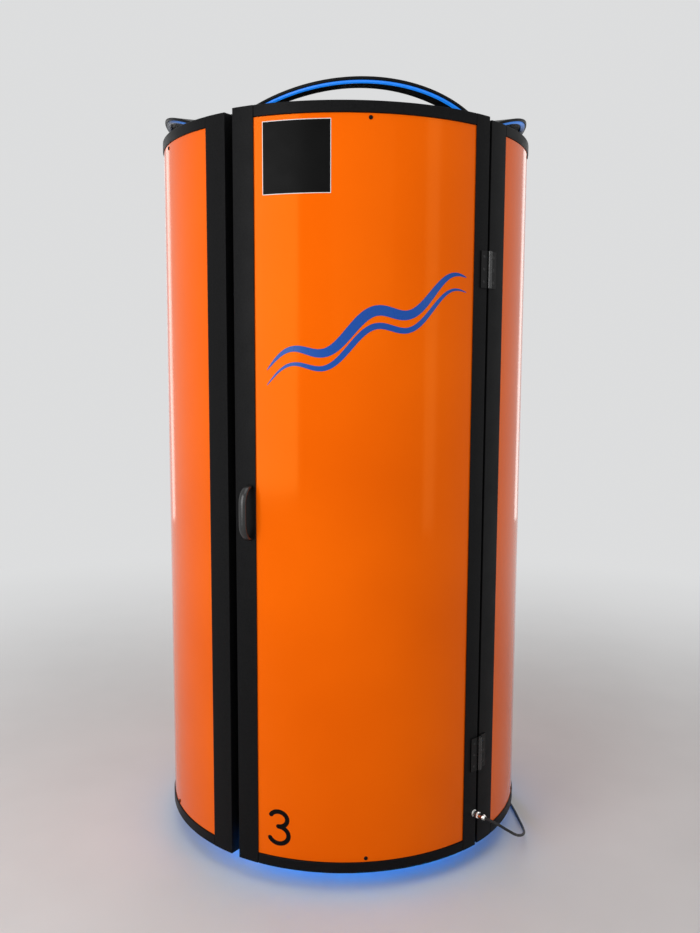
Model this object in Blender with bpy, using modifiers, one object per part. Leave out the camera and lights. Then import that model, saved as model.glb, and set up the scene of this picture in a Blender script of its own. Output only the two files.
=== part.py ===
"""Stand-up tanning cabin: a round cabinet with a curved lamp door, a waved light crown and an exhaust fan.

Units are metres, +Z is up, and the origin lies on the floor on the cabin's axis.
Angles are degrees in plan: 0 is the front (-Y), and they grow towards the right (+X).
"""

import math

import bmesh
import bpy
from mathutils import Matrix, Vector

# Cabinet sizes
CABIN_RADIUS = 0.560
CABIN_HEIGHT = 2.130
BASE_LIFT = 0.062
BAND_HEIGHT = 0.030
ROOF_BAND = 0.029
BAND_LIP = 0.003
SKIN = 0.004
SHEET = 0.003
DECK = 0.004
DECK_INSET = 0.0025
SHAFT_RADIUS = 0.4445
SHIELD = 0.004
FIT = 0.0003
SLIDE_FIT = 0.0005
EDGE_ROUND = 0.004

# Cabinet angles
OPENING_HALF = 39.75
POST_ANGLE = 7.45
COLUMN_HALF = 15.0
LIP_ANGLE = 0.8
ARC_STEP = 6.0

# Plinth and floor
PLINTH_SETBACK = 0.016
PLINTH_WALL = 0.015
GLOW_WIDTH = 0.010
GLOW_HEIGHT = 0.015
GLOW_Z = 0.030
SILL_GAP = 0.0045
MAT_MARGIN = 0.036
MAT_THICKNESS = 0.005
PLINTH_STEP = 10.0

# Roof ring and crown
ROOF_RING_WIDTH = 0.093
CROWN_WIDTH = 0.080
CROWN_FOOT_SETBACK = 0.048
CROWN_TIP_SETBACK = 0.008
CROWN_RISE = 0.059
CROWN_SHEET = 0.008
CROWN_HALF = 38.0
CROWN_SIDE_HALF = 29.0
CROWN_RIGHT = 75.5
CROWN_LEFT = 272.8
CROWN_LIGHT_SHARE = 0.89
CROWN_LIGHT_WIDTH = 0.012
CROWN_LIGHT_HEIGHT = 0.009
CROWN_LIGHT_INSET = 0.005
CROWN_LIGHT_FIT = 0.0009
CROWN_STEP = 3.0

# Lamps
LAMP_RADIUS = 0.019
LAMP_PITCH = 8.3
LAMP_PLACE = 0.38
REFLECTOR_PLACE = 0.74
LAMP_RAIL_PLACE = 0.77
LAMP_RAIL_HEIGHT = 0.060
LAMP_SOCKET = 0.012
REFLECTOR_FOLD = 0.014
REFLECTOR_SHEET = 0.0015
LAMP_SIDES = 10

# Door
LATCH_GAP_ANGLE = 2.95
HINGE_GAP_ANGLE = 1.25
LATCH_STILE_ANGLE = 6.65
HINGE_STILE_ANGLE = 5.35
DOOR_PROUD = 0.003
DOOR_TOP_GAP = 0.002
BROW_HEIGHT = 0.008
BROW_DEPTH = 0.030

# Hinges
HINGE_PIN_ANGLE = 0.65
HINGE_PROUD = 0.0075
HINGE_LENGTH = 0.100
HINGE_LEAF_WIDTH = 0.028
HINGE_LEAF = 0.003
KNUCKLE_RADIUS = 0.006
HINGE_PIN_RADIUS = 0.003
HINGE_SIDES = 20
UPPER_HINGE_Z = 1.730
LOWER_HINGE_Z = 0.345

# Handle and catch
HANDLE_INSET_ANGLE = 4.7
HANDLE_Z = 1.068
HANDLE_SPACING = 0.143
HANDLE_REACH = 0.042
HANDLE_WIDTH = 0.022
HANDLE_THICKNESS = 0.013
HANDLE_BEND = 0.034
HANDLE_ARCH = 0.045
HANDLE_STEPS = 6
HANDLE_SIDES = 14
CATCH_HEIGHT = 0.060
MAGNET_DEPTH = 0.020
MAGNET_WIDTH = 0.0155
STRIKE_SHEET = 0.004
STRIKE_LAP = 0.006

# Control panel
PANEL_WIDTH = 0.110
PANEL_HEIGHT = 0.170
PANEL_DEPTH = 0.018
PANEL_Z = 1.250
BUTTON_RADIUS = 0.013
BUTTON_SPACING = 0.070
BUTTON_PROUD = 0.005
BUTTON_TRAVEL = 0.004
BUTTON_SEAT = 0.0035

# Exhaust fan and roof gear
FAN_RADIUS = 0.150
FAN_WALL = 0.003
FAN_HEIGHT = 0.053
FAN_FLANGE = 0.027
FAN_HUB = 0.045
FAN_BLADES = 5
FAN_TIP_GAP = 0.007
FAN_HUB_DEPTH = 0.021
FAN_SHAFT = 0.005
FAN_SHAFT_SIDES = 16
FAN_SIDES = 36
FAN_ARMS = 3
FAN_ARM_TURN = 30.0
FAN_ARM_WIDTH = 0.010
FAN_ARM_HEIGHT = 0.006
BLADE_SHEET = 0.0025
BLADE_ROOT_PITCH = 34.0
BLADE_TIP_PITCH = 18.0
BLADE_ROOT_CHORD = 0.036
BLADE_TIP_CHORD = 0.070
BLADE_TIP_FLAT = 0.25
MOTOR_DEPTH = 0.022
GUARD_LAP = 0.022
GUARD_BAR = 0.006
GUARD_RINGS = 3
GUARD_SPOKES = 4
GUARD_STEP = 15.0
GEAR_BOX_WIDTH = 0.300
GEAR_BOX_DEPTH = 0.130
GEAR_BOX_HEIGHT = 0.050
GEAR_BOX_SETBACK = 0.095

# Door cable, its connector and its gland
CABLE_RADIUS = 0.004
GLAND_RADIUS = 0.009
GLAND_LENGTH = 0.0215
GLAND_NUT = 0.0097
GLAND_CAP_LENGTH = 0.0172
GLAND_CAP_RADIUS = 0.0072
GLAND_NECK_RADIUS = 0.0076
GLAND_MOUTH = 0.0056
GLAND_BORE = 0.002
GLAND_SIDES = 14
CONNECTOR_LENGTH = 0.048
CONNECTOR_FLANGE_RADIUS = 0.0105
CONNECTOR_FLANGE = 0.007
CONNECTOR_BODY_RADIUS = 0.0076
CONNECTOR_RING_RADIUS = 0.0095
CONNECTOR_RING_LOW = 0.011
CONNECTOR_RING_HIGH = 0.025
CONNECTOR_NUT_RADIUS = 0.0085
CONNECTOR_NUT_LOW = 0.034
CONNECTOR_NUT_HIGH = 0.042
DOOR_GLAND_INSET_ANGLE = 1.5
DOOR_GLAND_Z = 0.168
BASE_GLAND_ANGLE = 94.5
BASE_GLAND_Z = 0.016
CABLE_ROUTE = [
    (0.2, 0.0757, 0.1664),
    (0.9, 0.0918, 0.160),
    (1.9, 0.1023, 0.150),
    (3.3, 0.1055, 0.1378),
    (5.8, 0.103, 0.1172),
    (9.8, 0.093, 0.090),
    (15.2, 0.079, 0.061),
    (21.2, 0.061, 0.035),
    (27.4, 0.040, 0.016),
    (33.6, 0.020, 0.008),
    (39.6, 0.004, 0.0065),
    (45.4, -0.009, 0.0065),
    (50.4, -0.022, 0.0068),
    (54.0, -0.042, 0.0085),
    (56.5, -0.074, 0.0125),
]
CABLE_STEPS = 2
CABLE_STRAIGHT = 0.012

# Rear cover vents
VENT_COUNT = 8
VENT_HEIGHT = 0.008
VENT_PITCH = 0.022
VENT_HALF = 9.0
VENT_LOW_Z = 0.300

# Mesh detail
SHARP_ANGLE = 30.0
MERGE = 1e-6

# Levels and radii that follow from the sizes above
DECK_TOP = BASE_LIFT + BAND_HEIGHT
ROOF_LOW = CABIN_HEIGHT - ROOF_BAND
CEILING = ROOF_LOW - FIT - DECK
CABIN_FACE = CABIN_RADIUS + BAND_LIP
SKIN_FACE = CABIN_FACE - SHEET - SLIDE_FIT
SKIN_BACK = SKIN_FACE - SKIN
DECK_RADIUS = SKIN_BACK - DECK_INSET
SILL_RADIUS = SHAFT_RADIUS - SHIELD - SILL_GAP
PLINTH_RADIUS = SILL_RADIUS - PLINTH_SETBACK
MAT_RADIUS = SILL_RADIUS - MAT_MARGIN
ROOF_RING_INNER = CABIN_FACE - ROOF_RING_WIDTH
CROWN_TIP = CABIN_FACE - CROWN_TIP_SETBACK
CROWN_FOOT = CABIN_FACE - CROWN_FOOT_SETBACK
CROWN_INNER = CROWN_TIP - CROWN_WIDTH
WALL_DEPTH = SKIN_BACK - SHAFT_RADIUS
LAMP_CIRCLE = SHAFT_RADIUS + LAMP_PLACE * WALL_DEPTH
REFLECTOR_RADIUS = SHAFT_RADIUS + REFLECTOR_PLACE * WALL_DEPTH
LAMP_RAIL_BACK = SHAFT_RADIUS + LAMP_RAIL_PLACE * WALL_DEPTH
POST_BACK = OPENING_HALF + POST_ANGLE
SHIELD_FACE = SHAFT_RADIUS - SLIDE_FIT
DOOR_FACE = CABIN_FACE + DOOR_PROUD
DOOR_TOP = CABIN_HEIGHT - DOOR_TOP_GAP
DOOR_CREST = DOOR_TOP + BROW_HEIGHT
DOOR_RAIL_LOW = DOOR_CREST - BAND_HEIGHT
DOOR_LATCH_ANGLE = LATCH_GAP_ANGLE - OPENING_HALF
DOOR_HINGE_ANGLE = OPENING_HALF - HINGE_GAP_ANGLE
HINGE_ANGLE = OPENING_HALF - HINGE_PIN_ANGLE
HINGE_CIRCLE = CABIN_FACE + HINGE_PROUD
HANDLE_ANGLE = DOOR_LATCH_ANGLE + HANDLE_INSET_ANGLE
DOOR_GLAND_ANGLE = DOOR_HINGE_ANGLE - DOOR_GLAND_INSET_ANGLE
DOOR_PANEL_LEFT = DOOR_LATCH_ANGLE + LATCH_STILE_ANGLE
DOOR_PANEL_RIGHT = DOOR_HINGE_ANGLE - HINGE_STILE_ANGLE
DOOR_CENTRE = (DOOR_PANEL_LEFT + DOOR_PANEL_RIGHT) / 2
COLUMN_FACE_Y = SHAFT_RADIUS * math.cos(math.radians(COLUMN_HALF))
CROWN_ARCHES = {
    "front": (DOOR_CENTRE, CROWN_HALF),
    "right": (CROWN_RIGHT, CROWN_SIDE_HALF),
    "rear": (180.0, CROWN_HALF),
    "left": (CROWN_LEFT, CROWN_SIDE_HALF),
}

# Colours as linear RGB
ORANGE = (0.95, 0.17, 0.004)
BLACK = (0.012, 0.012, 0.013)
BLUE = (0.02, 0.24, 1.0)


def clear_scene():
    for obj in list(bpy.data.objects):
        bpy.data.objects.remove(obj, do_unlink=True)


def new_collection(name, hidden=False):
    collection = bpy.data.collections.new(name)
    collection.hide_render = hidden
    bpy.context.scene.collection.children.link(collection)
    return collection


clear_scene()
PARTS = new_collection("tanning_cabin")
HELPERS = new_collection("tanning_cabin_cutters", hidden=True)


def finish(name, colour, roughness, metallic=0.0, transmission=0.0, glow=0.0):
    material = bpy.data.materials.new(name)
    material.use_nodes = True
    shader = material.node_tree.nodes["Principled BSDF"]
    shader.inputs["Base Color"].default_value = (*colour, 1.0)
    shader.inputs["Roughness"].default_value = roughness
    shader.inputs["Metallic"].default_value = metallic
    shader.inputs["Transmission Weight"].default_value = transmission
    shader.inputs["Emission Color"].default_value = (*colour, 1.0)
    shader.inputs["Emission Strength"].default_value = glow
    return material


GLOSS_ORANGE = finish("gloss_orange_skin", ORANGE, 0.12)
BLACK_COAT = finish("black_powder_coat", BLACK, 0.45)
BLACK_PLASTIC = finish("black_plastic", (0.015, 0.015, 0.016), 0.35)
BLUE_LIGHT = finish("blue_light_strip", BLUE, 0.4, glow=3.0)
BRIGHT_SHEET = finish("bright_aluminium", (0.80, 0.81, 0.82), 0.18, metallic=1.0)
STEEL = finish("zinc_steel", (0.45, 0.46, 0.48), 0.35, metallic=1.0)
CLEAR_ACRYLIC = finish("clear_acrylic", (0.92, 0.96, 1.0), 0.05, transmission=0.9)
LAMP_GLASS = finish("lamp_glass", (0.75, 0.80, 0.92), 0.2)
RUBBER = finish("black_rubber", (0.02, 0.02, 0.02), 0.8)
GREEN_BUTTON = finish("green_button", (0.02, 0.35, 0.08), 0.3)
RED_BUTTON = finish("red_button", (0.55, 0.01, 0.01), 0.3)


def polar(radius, angle):
    turn = math.radians(angle)
    return (radius * math.sin(turn), -radius * math.cos(turn))


def polar_point(radius, angle, height):
    return Vector((*polar(radius, angle), height))


def angle_of(length, radius):
    return math.degrees(length / radius)


def arc(radius, start, end, step=ARC_STEP):
    """Plan points along a circle on a common angular grid, so that nested walls keep their gap."""
    low, high = sorted((start, end))
    least = step * 0.1
    first = math.ceil(low / step)
    last = math.floor(high / step)
    grid = [k * step for k in range(first, last + 1)]
    between = [a for a in grid if low + least < a < high - least]
    points = [polar(radius, a) for a in (low, *between, high)]
    return points if start < end else points[::-1]


def circle(radius, step=ARC_STEP):
    count = round(360 / step)
    return [polar(radius, k * step) for k in range(count)]


def sector(inner, outer, start, end, step=ARC_STEP):
    return arc(outer, start, end, step) + arc(inner, end, start, step)


def keyhole(back_radius, front_radius, half):
    """A disc whose front, between the posts, is stepped back to clear the door."""
    return arc(back_radius, half, 360 - half) + arc(front_radius, -half, half)


def add_part(obj, material, parent=None):
    PARTS.objects.link(obj)
    obj.data.materials.clear()
    obj.data.materials.append(material)
    if parent:
        obj.parent = parent
        obj.matrix_parent_inverse = Matrix.Translation(parent.location).inverted()
    return obj


def as_helper(obj):
    """Keeps a shape that cuts or joins another one out of the render."""
    for collection in list(obj.users_collection):
        collection.objects.unlink(obj)
    HELPERS.objects.link(obj)
    obj.hide_render = True
    obj.display_type = "WIRE"
    return obj


def mesh_object(name, form):
    bmesh.ops.recalc_face_normals(form, faces=form.faces)
    mesh = bpy.data.meshes.new(name)
    form.to_mesh(mesh)
    form.free()
    mesh.shade_smooth()
    mesh.set_sharp_from_angle(angle=math.radians(SHARP_ANGLE))
    return bpy.data.objects.new(name, mesh)


def curve_to_mesh(name, curve):
    """A curve's solid as a mesh object with its caps welded."""
    source = bpy.data.objects.new(name + "_curve", curve)
    HELPERS.objects.link(source)
    bpy.context.view_layer.update()
    graph = bpy.context.evaluated_depsgraph_get()
    made = bpy.data.meshes.new_from_object(source.evaluated_get(graph))
    form = bmesh.new()
    form.from_mesh(made)
    bmesh.ops.remove_doubles(form, verts=form.verts, dist=MERGE)
    bpy.data.objects.remove(source)
    bpy.data.curves.remove(curve)
    bpy.data.meshes.remove(made)
    return mesh_object(name, form)


def plate(name, outlines, low, high):
    """A flat outline, with any holes in it, raised from low to high."""
    curve = bpy.data.curves.new(name, "CURVE")
    curve.dimensions = "2D"
    curve.fill_mode = "BOTH"
    curve.extrude = (high - low) / 2
    for outline in outlines:
        spline = curve.splines.new("POLY")
        spline.points.add(len(outline) - 1)
        for point, (x, y) in zip(spline.points, outline):
            point.co = (x, y, 0.0, 1.0)
        spline.use_cyclic_u = True
    obj = curve_to_mesh(name, curve)
    obj.location.z = (low + high) / 2
    return obj


def tube(name, points, radius, resolution):
    """A round bar or lead with filled ends along a line of points."""
    curve = bpy.data.curves.new(name, "CURVE")
    curve.dimensions = "3D"
    curve.bevel_depth = radius
    curve.bevel_resolution = resolution
    curve.use_fill_caps = True
    spline = curve.splines.new("POLY")
    spline.points.add(len(points) - 1)
    for point, place in zip(spline.points, points):
        point.co = (*place, 1.0)
    return bpy.data.objects.new(name, curve)


def strap(name, path, angle, width, thickness, sides):
    """An oval bar along (radius, height) points in the upright plane at an angle."""
    centres = [polar_point(reach, angle, height) for reach, height in path]
    across = Vector((*polar(width / 2, angle + 90), 0))
    form = bmesh.new()
    rings = []
    for before, centre, after in zip([centres[0], *centres], centres, [*centres[1:], centres[-1]]):
        out = (after - before).cross(across).normalized() * (thickness / 2)
        turns = [2 * math.pi * k / sides for k in range(sides)]
        rings.append([form.verts.new(centre + across * math.cos(t) + out * math.sin(t)) for t in turns])
    for near, far in zip(rings, rings[1:]):
        for k in range(sides):
            form.faces.new((near[k - 1], near[k], far[k], far[k - 1]))
    form.faces.new(rings[0])
    form.faces.new(rings[-1])
    return mesh_object(name, form)


def turned(name, profile, steps=32):
    """A closed profile of (radius, height) points turned about Z, listed down the outer side first."""
    mesh = bpy.data.meshes.new(name)
    count = len(profile)
    edges = [(k, (k + 1) % count) for k in range(count)]
    mesh.from_pydata([(r, 0.0, z) for r, z in profile], edges, [])
    obj = bpy.data.objects.new(name, mesh)
    screw = obj.modifiers.new("turn", "SCREW")
    screw.steps = steps
    screw.render_steps = steps
    screw.use_merge_vertices = True
    screw.merge_threshold = MERGE
    screw.use_smooth_shade = True
    return obj


def cylinder(name, radius, length, sides=24):
    form = bmesh.new()
    bmesh.ops.create_cone(form, cap_ends=True, segments=sides, radius1=radius, radius2=radius, depth=length)
    return mesh_object(name, form)


def block(name, size, bevel=0.0):
    form = bmesh.new()
    bmesh.ops.create_cube(form, size=1.0)
    bmesh.ops.scale(form, vec=size, verts=form.verts)
    obj = mesh_object(name, form)
    if bevel:
        rounding = obj.modifiers.new("rounded_edges", "BEVEL")
        rounding.width = bevel
        rounding.segments = 2
    return obj


def ribbon(name, start, end, inner, outer, under, thickness, closed=False):
    """A sheet that follows the cabin's rim; inner, outer and under give radii and height at an angle."""
    form = bmesh.new()
    count = round((end - start) / CROWN_STEP)
    bmesh.ops.create_grid(form, x_segments=count, y_segments=1, size=0.5)
    for vert in form.verts:
        angle = start + (vert.co.x + 0.5) * (end - start)
        reach = outer(angle) + (vert.co.y + 0.5) * (inner(angle) - outer(angle))
        vert.co = polar_point(reach, angle, under(angle))
    if closed:
        bmesh.ops.remove_doubles(form, verts=form.verts, dist=MERGE)
    mesh = bpy.data.meshes.new(name)
    form.to_mesh(mesh)
    form.free()
    mesh.shade_smooth()
    mesh.set_sharp_from_angle(angle=math.radians(SHARP_ANGLE))
    obj = bpy.data.objects.new(name, mesh)
    shell = obj.modifiers.new("sheet", "SOLIDIFY")
    shell.thickness = thickness
    shell.offset = 1.0
    return obj


def join(target, other):
    modifier = target.modifiers.new("join", "BOOLEAN")
    modifier.operation = "UNION"
    modifier.solver = "EXACT"
    modifier.object = as_helper(other)


def cut(target, other):
    modifier = target.modifiers.new("cut", "BOOLEAN")
    modifier.operation = "DIFFERENCE"
    modifier.solver = "EXACT"
    modifier.object = as_helper(other)


def face_along(obj, place, direction):
    """Puts an object's origin at a place with its Z axis along a direction."""
    obj.location = place
    obj.rotation_mode = "QUATERNION"
    obj.rotation_quaternion = Vector((0, 0, 1)).rotation_difference(Vector(direction))
    return obj


def pivot(name, place):
    empty = bpy.data.objects.new(name, None)
    empty.location = place
    PARTS.objects.link(empty)
    return empty


CABINET = pivot("cabinet_origin", (0, 0, 0))
DOOR = pivot("door_pivot", (*polar(HINGE_CIRCLE, HINGE_ANGLE), BASE_LIFT))


def jamb(name, edge, back, inner, outer, low, high, brow=0.0):
    """A folded upright: outer face, side at the edge, inner flange and end caps, open towards the back."""
    side = math.copysign(angle_of(SHEET, inner), back - edge)
    obj = plate(name, [sector(inner, outer, *sorted((edge, back)))], low, high + brow)
    hollow = sector(inner + SHEET, outer - SHEET, *sorted((edge + side, back + side)))
    cut(obj, plate(name + "_hollow", [hollow], low + SHEET, high - SHEET))
    return obj


def make_base():
    plinth_top = DECK_TOP - DECK - FIT
    rings = [circle(PLINTH_RADIUS, PLINTH_STEP), circle(PLINTH_RADIUS - PLINTH_WALL, PLINTH_STEP)]
    add_part(plate("plinth", rings, 0.0, plinth_top), BLACK_COAT, CABINET)
    glow_inner = PLINTH_RADIUS + SLIDE_FIT
    rings = [circle(glow_inner + GLOW_WIDTH, PLINTH_STEP), circle(glow_inner, PLINTH_STEP)]
    add_part(plate("plinth_light_strip", rings, GLOW_Z, GLOW_Z + GLOW_HEIGHT), BLUE_LIGHT, CABINET)
    half = POST_BACK + angle_of(FIT, SILL_RADIUS)
    deck = plate("base_platform", [keyhole(DECK_RADIUS, SILL_RADIUS, half)], BASE_LIFT, DECK_TOP)
    inset = half + angle_of(SHEET, SILL_RADIUS)
    under = keyhole(DECK_RADIUS - SHEET, SILL_RADIUS - SHEET, inset)
    cut(deck, plate("base_platform_hollow", [under], BASE_LIFT - SHEET, DECK_TOP - DECK))
    add_part(deck, BLACK_COAT, CABINET)
    skirt = sector(DECK_RADIUS + SLIDE_FIT, CABIN_FACE, half, 360 - half)
    add_part(plate("base_skirt", [skirt], BASE_LIFT, DECK_TOP), BLACK_COAT, CABINET)
    mat_low = DECK_TOP + FIT
    mat = plate("floor_mat", [circle(MAT_RADIUS, PLINTH_STEP)], mat_low, mat_low + MAT_THICKNESS)
    add_part(mat, RUBBER, CABINET)


def make_uprights():
    for name, sign in (("left_post", -1), ("right_post", 1)):
        edge = sign * OPENING_HALF
        post = jamb(name, edge, sign * POST_BACK, SHAFT_RADIUS, CABIN_FACE, BASE_LIFT, CABIN_HEIGHT)
        add_part(post, BLACK_COAT, CABINET)
    low = DECK_TOP + FIT
    high = CEILING - FIT
    left = 180 - COLUMN_HALF
    right = 180 + COLUMN_HALF
    back = SKIN_BACK - SLIDE_FIT
    wall_out = angle_of(SHEET, back)
    wall_in = angle_of(SHEET, SHAFT_RADIUS)
    inner = SHAFT_RADIUS + SHEET / math.cos(math.radians(COLUMN_HALF))
    channel = [
        polar(back, left),
        polar(back, left + wall_out),
        polar(inner, left + wall_in),
        polar(inner, right - wall_in),
        polar(back, right - wall_out),
        polar(back, right),
        polar(SHAFT_RADIUS, right),
        polar(SHAFT_RADIUS, left),
    ]
    add_part(plate("rear_column", [channel], low, high), BLACK_COAT, CABINET)


def make_skins():
    low = DECK_TOP + FIT
    high = ROOF_LOW - FIT
    front = POST_BACK - LIP_ANGLE
    seam = 180 - COLUMN_HALF
    butt = angle_of(FIT, SKIN_FACE)
    outline = sector(SKIN_BACK, SKIN_FACE, front, seam - butt)
    add_part(plate("right_panel", [outline], low, high), GLOSS_ORANGE, CABINET)
    outline = sector(SKIN_BACK, SKIN_FACE, 360 - seam + butt, 360 - front)
    add_part(plate("left_panel", [outline], low, high), GLOSS_ORANGE, CABINET)
    cover = plate("rear_cover", [sector(SKIN_BACK, SKIN_FACE, seam, 360 - seam)], low, high)
    for bank in (VENT_LOW_Z, CABIN_HEIGHT - VENT_LOW_Z - VENT_COUNT * VENT_PITCH):
        for k in range(VENT_COUNT):
            z = bank + k * VENT_PITCH
            slot = sector(SKIN_BACK - SKIN, SKIN_FACE + SKIN, 180 - VENT_HALF, 180 + VENT_HALF)
            cut(cover, plate(f"rear_vent_{bank:.1f}_{k}", [slot], z, z + VENT_HEIGHT))
    add_part(cover, BLACK_COAT, CABINET)


def make_roof():
    half = POST_BACK + angle_of(FIT, SILL_RADIUS)
    fan_hole = circle(FAN_RADIUS + FAN_WALL + SLIDE_FIT)
    outline = keyhole(DECK_RADIUS, SILL_RADIUS, half)
    add_part(plate("roof_plate", [outline, fan_hole], CEILING, CEILING + DECK), BLACK_COAT, CABINET)
    outline = sector(ROOF_RING_INNER, CABIN_FACE, half, 360 - half)
    ring = plate("roof_ring", [outline], ROOF_LOW, CABIN_HEIGHT)
    inset = half + angle_of(SHEET, ROOF_RING_INNER)
    under = sector(ROOF_RING_INNER + SHEET, CABIN_FACE - SHEET, inset, 360 - inset)
    cut(ring, plate("roof_ring_hollow", [under], ROOF_LOW - SHEET, CABIN_HEIGHT - SHEET))
    add_part(ring, BLACK_COAT, CABINET)
    gear_low = CEILING + DECK + FIT
    size = (GEAR_BOX_WIDTH, GEAR_BOX_DEPTH, GEAR_BOX_HEIGHT)
    gear = block("control_gear_box", size, bevel=EDGE_ROUND)
    gear_back = ROOF_RING_INNER - GEAR_BOX_SETBACK
    gear.location = (0, gear_back - GEAR_BOX_DEPTH / 2, gear_low + GEAR_BOX_HEIGHT / 2)
    add_part(gear, BLACK_COAT, CABINET)


def crown_wave(angle):
    """0 on the crown's feet and 1 at the top of each arch."""
    for centre, half in CROWN_ARCHES.values():
        away = abs((angle - centre + 180) % 360 - 180)
        if away < half:
            return math.cos(math.radians(90 * away / half))
    return 0.0


def crown_under(angle):
    return CABIN_HEIGHT + FIT + CROWN_RISE * crown_wave(angle)


def crown_edge(angle):
    return CROWN_FOOT + (CROWN_TIP - CROWN_FOOT) * crown_wave(angle)


def make_crown():
    ring = ribbon(
        "crown_ring", 0, 360, lambda a: CROWN_INNER, crown_edge, crown_under, CROWN_SHEET, closed=True
    )
    add_part(ring, BLACK_COAT, CABINET)
    for side, (centre, half) in CROWN_ARCHES.items():
        reach = CROWN_LIGHT_SHARE * half
        strip = ribbon(
            f"crown_light_{side}",
            CROWN_STEP * math.ceil((centre - reach) / CROWN_STEP),
            CROWN_STEP * math.floor((centre + reach) / CROWN_STEP),
            lambda a: crown_edge(a) - CROWN_LIGHT_INSET - CROWN_LIGHT_WIDTH,
            lambda a: crown_edge(a) - CROWN_LIGHT_INSET,
            lambda a: crown_under(a) - CROWN_LIGHT_FIT - CROWN_LIGHT_HEIGHT,
            CROWN_LIGHT_HEIGHT,
        )
        add_part(strip, BLUE_LIGHT, CABINET)


def lamp_angles(start, end):
    """As many lamps as fit at the lamp pitch, centred between two angles."""
    room = end - start - 2 * angle_of(LAMP_RADIUS, LAMP_CIRCLE)
    count = math.floor(room / LAMP_PITCH) + 1
    first = (start + end - (count - 1) * LAMP_PITCH) / 2
    return [first + k * LAMP_PITCH for k in range(count)]


def lamp_bank(name, start, end, low, high):
    """Lamp tubes standing between two lamp-holder rails."""
    outline = sector(SHAFT_RADIUS + SLIDE_FIT, LAMP_RAIL_BACK, start, end)
    bank = plate(name, [outline], low, low + LAMP_RAIL_HEIGHT)
    join(bank, plate(name + "_upper_rail", [outline], high - LAMP_RAIL_HEIGHT, high))
    length = high - low - 2 * (LAMP_RAIL_HEIGHT - LAMP_SOCKET)
    for k, angle in enumerate(lamp_angles(start, end)):
        lamp = cylinder(f"{name}_tube_{k}", LAMP_RADIUS, length, sides=LAMP_SIDES)
        lamp.location = polar_point(LAMP_CIRCLE, angle, (low + high) / 2)
        join(bank, lamp)
    return bank


def reflector(name, start, end, low, high):
    """A bright sheet with a fold between each pair of lamps."""
    lamps = lamp_angles(start, end)
    line = [(start, REFLECTOR_RADIUS)]
    for angle in lamps:
        if angle > lamps[0]:
            line.append((angle - LAMP_PITCH / 2, REFLECTOR_RADIUS - REFLECTOR_FOLD))
        line.append((angle - LAMP_PITCH / 4, REFLECTOR_RADIUS))
        line.append((angle + LAMP_PITCH / 4, REFLECTOR_RADIUS))
    line.append((end, REFLECTOR_RADIUS))
    front = [polar(reach, angle) for angle, reach in line]
    back = [polar(reach + REFLECTOR_SHEET, angle) for angle, reach in reversed(line)]
    return plate(name, [front + back], low, high)


def make_lamps():
    low = DECK_TOP + FIT
    high = CEILING - FIT
    front = POST_BACK + angle_of(SLIDE_FIT, SHAFT_RADIUS)
    rear = 180 - COLUMN_HALF - angle_of(SLIDE_FIT, SHAFT_RADIUS)
    rail_top = low + LAMP_RAIL_HEIGHT + FIT
    rail_low = high - LAMP_RAIL_HEIGHT - FIT
    for side, start, end in (("right", front, rear), ("left", 360 - rear, 360 - front)):
        bank = lamp_bank(f"{side}_lamp_bank", start, end, low, high)
        add_part(bank, LAMP_GLASS, CABINET)
        sheet = reflector(f"{side}_reflector", start, end, rail_top, rail_low)
        add_part(sheet, BRIGHT_SHEET, CABINET)
        outline = sector(SHIELD_FACE - SHIELD, SHIELD_FACE, start, end)
        add_part(plate(f"{side}_lamp_shield", [outline], low, high), CLEAR_ACRYLIC, CABINET)


def make_fan():
    low = CEILING
    top = low + FAN_HEIGHT
    seat = CEILING + DECK + FIT
    outer = FAN_RADIUS + FAN_WALL
    profile = [
        (outer, top),
        (outer, seat + SHEET),
        (outer + FAN_FLANGE, seat + SHEET),
        (outer + FAN_FLANGE, seat),
        (outer, seat),
        (outer, low),
        (FAN_RADIUS, low),
        (FAN_RADIUS, top),
    ]
    housing = turned("fan_housing", profile, steps=FAN_SIDES)
    motor = cylinder("fan_motor", FAN_HUB, MOTOR_DEPTH)
    motor.location.z = top - MOTOR_DEPTH / 2
    hub_top = top - MOTOR_DEPTH - SHEET / 2
    hub_middle = hub_top - FAN_HUB_DEPTH / 2
    shaft = cylinder("fan_shaft", FAN_SHAFT, FAN_HUB_DEPTH, sides=FAN_SHAFT_SIDES)
    shaft.location.z = hub_middle + SHEET
    arm_length = FAN_RADIUS - FAN_HUB + 2 * SHEET
    reach = (FAN_RADIUS + FAN_HUB) / 2
    for k in range(FAN_ARMS):
        arm = block(f"fan_arm_{k}", (arm_length, FAN_ARM_WIDTH, FAN_ARM_HEIGHT))
        turn = math.radians(360 * k / FAN_ARMS + FAN_ARM_TURN)
        arm.location = (reach * math.cos(turn), reach * math.sin(turn), top - MOTOR_DEPTH / 2)
        arm.rotation_euler.z = turn
        join(housing, arm)
    join(housing, motor)
    join(housing, shaft)
    add_part(housing, BLACK_COAT, CABINET)
    rotor = cylinder("fan_rotor", FAN_HUB, FAN_HUB_DEPTH)
    rotor.location.z = hub_middle
    for k in range(FAN_BLADES):
        join(rotor, fan_blade(f"fan_blade_{k}", 360 * k / FAN_BLADES, hub_middle))
    bore = cylinder("fan_bore", FAN_SHAFT + SLIDE_FIT, 2 * FAN_HUB_DEPTH, sides=FAN_SHAFT_SIDES)
    bore.location.z = hub_middle
    cut(rotor, bore)
    add_part(rotor, BLACK_PLASTIC)
    make_guard()


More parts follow.
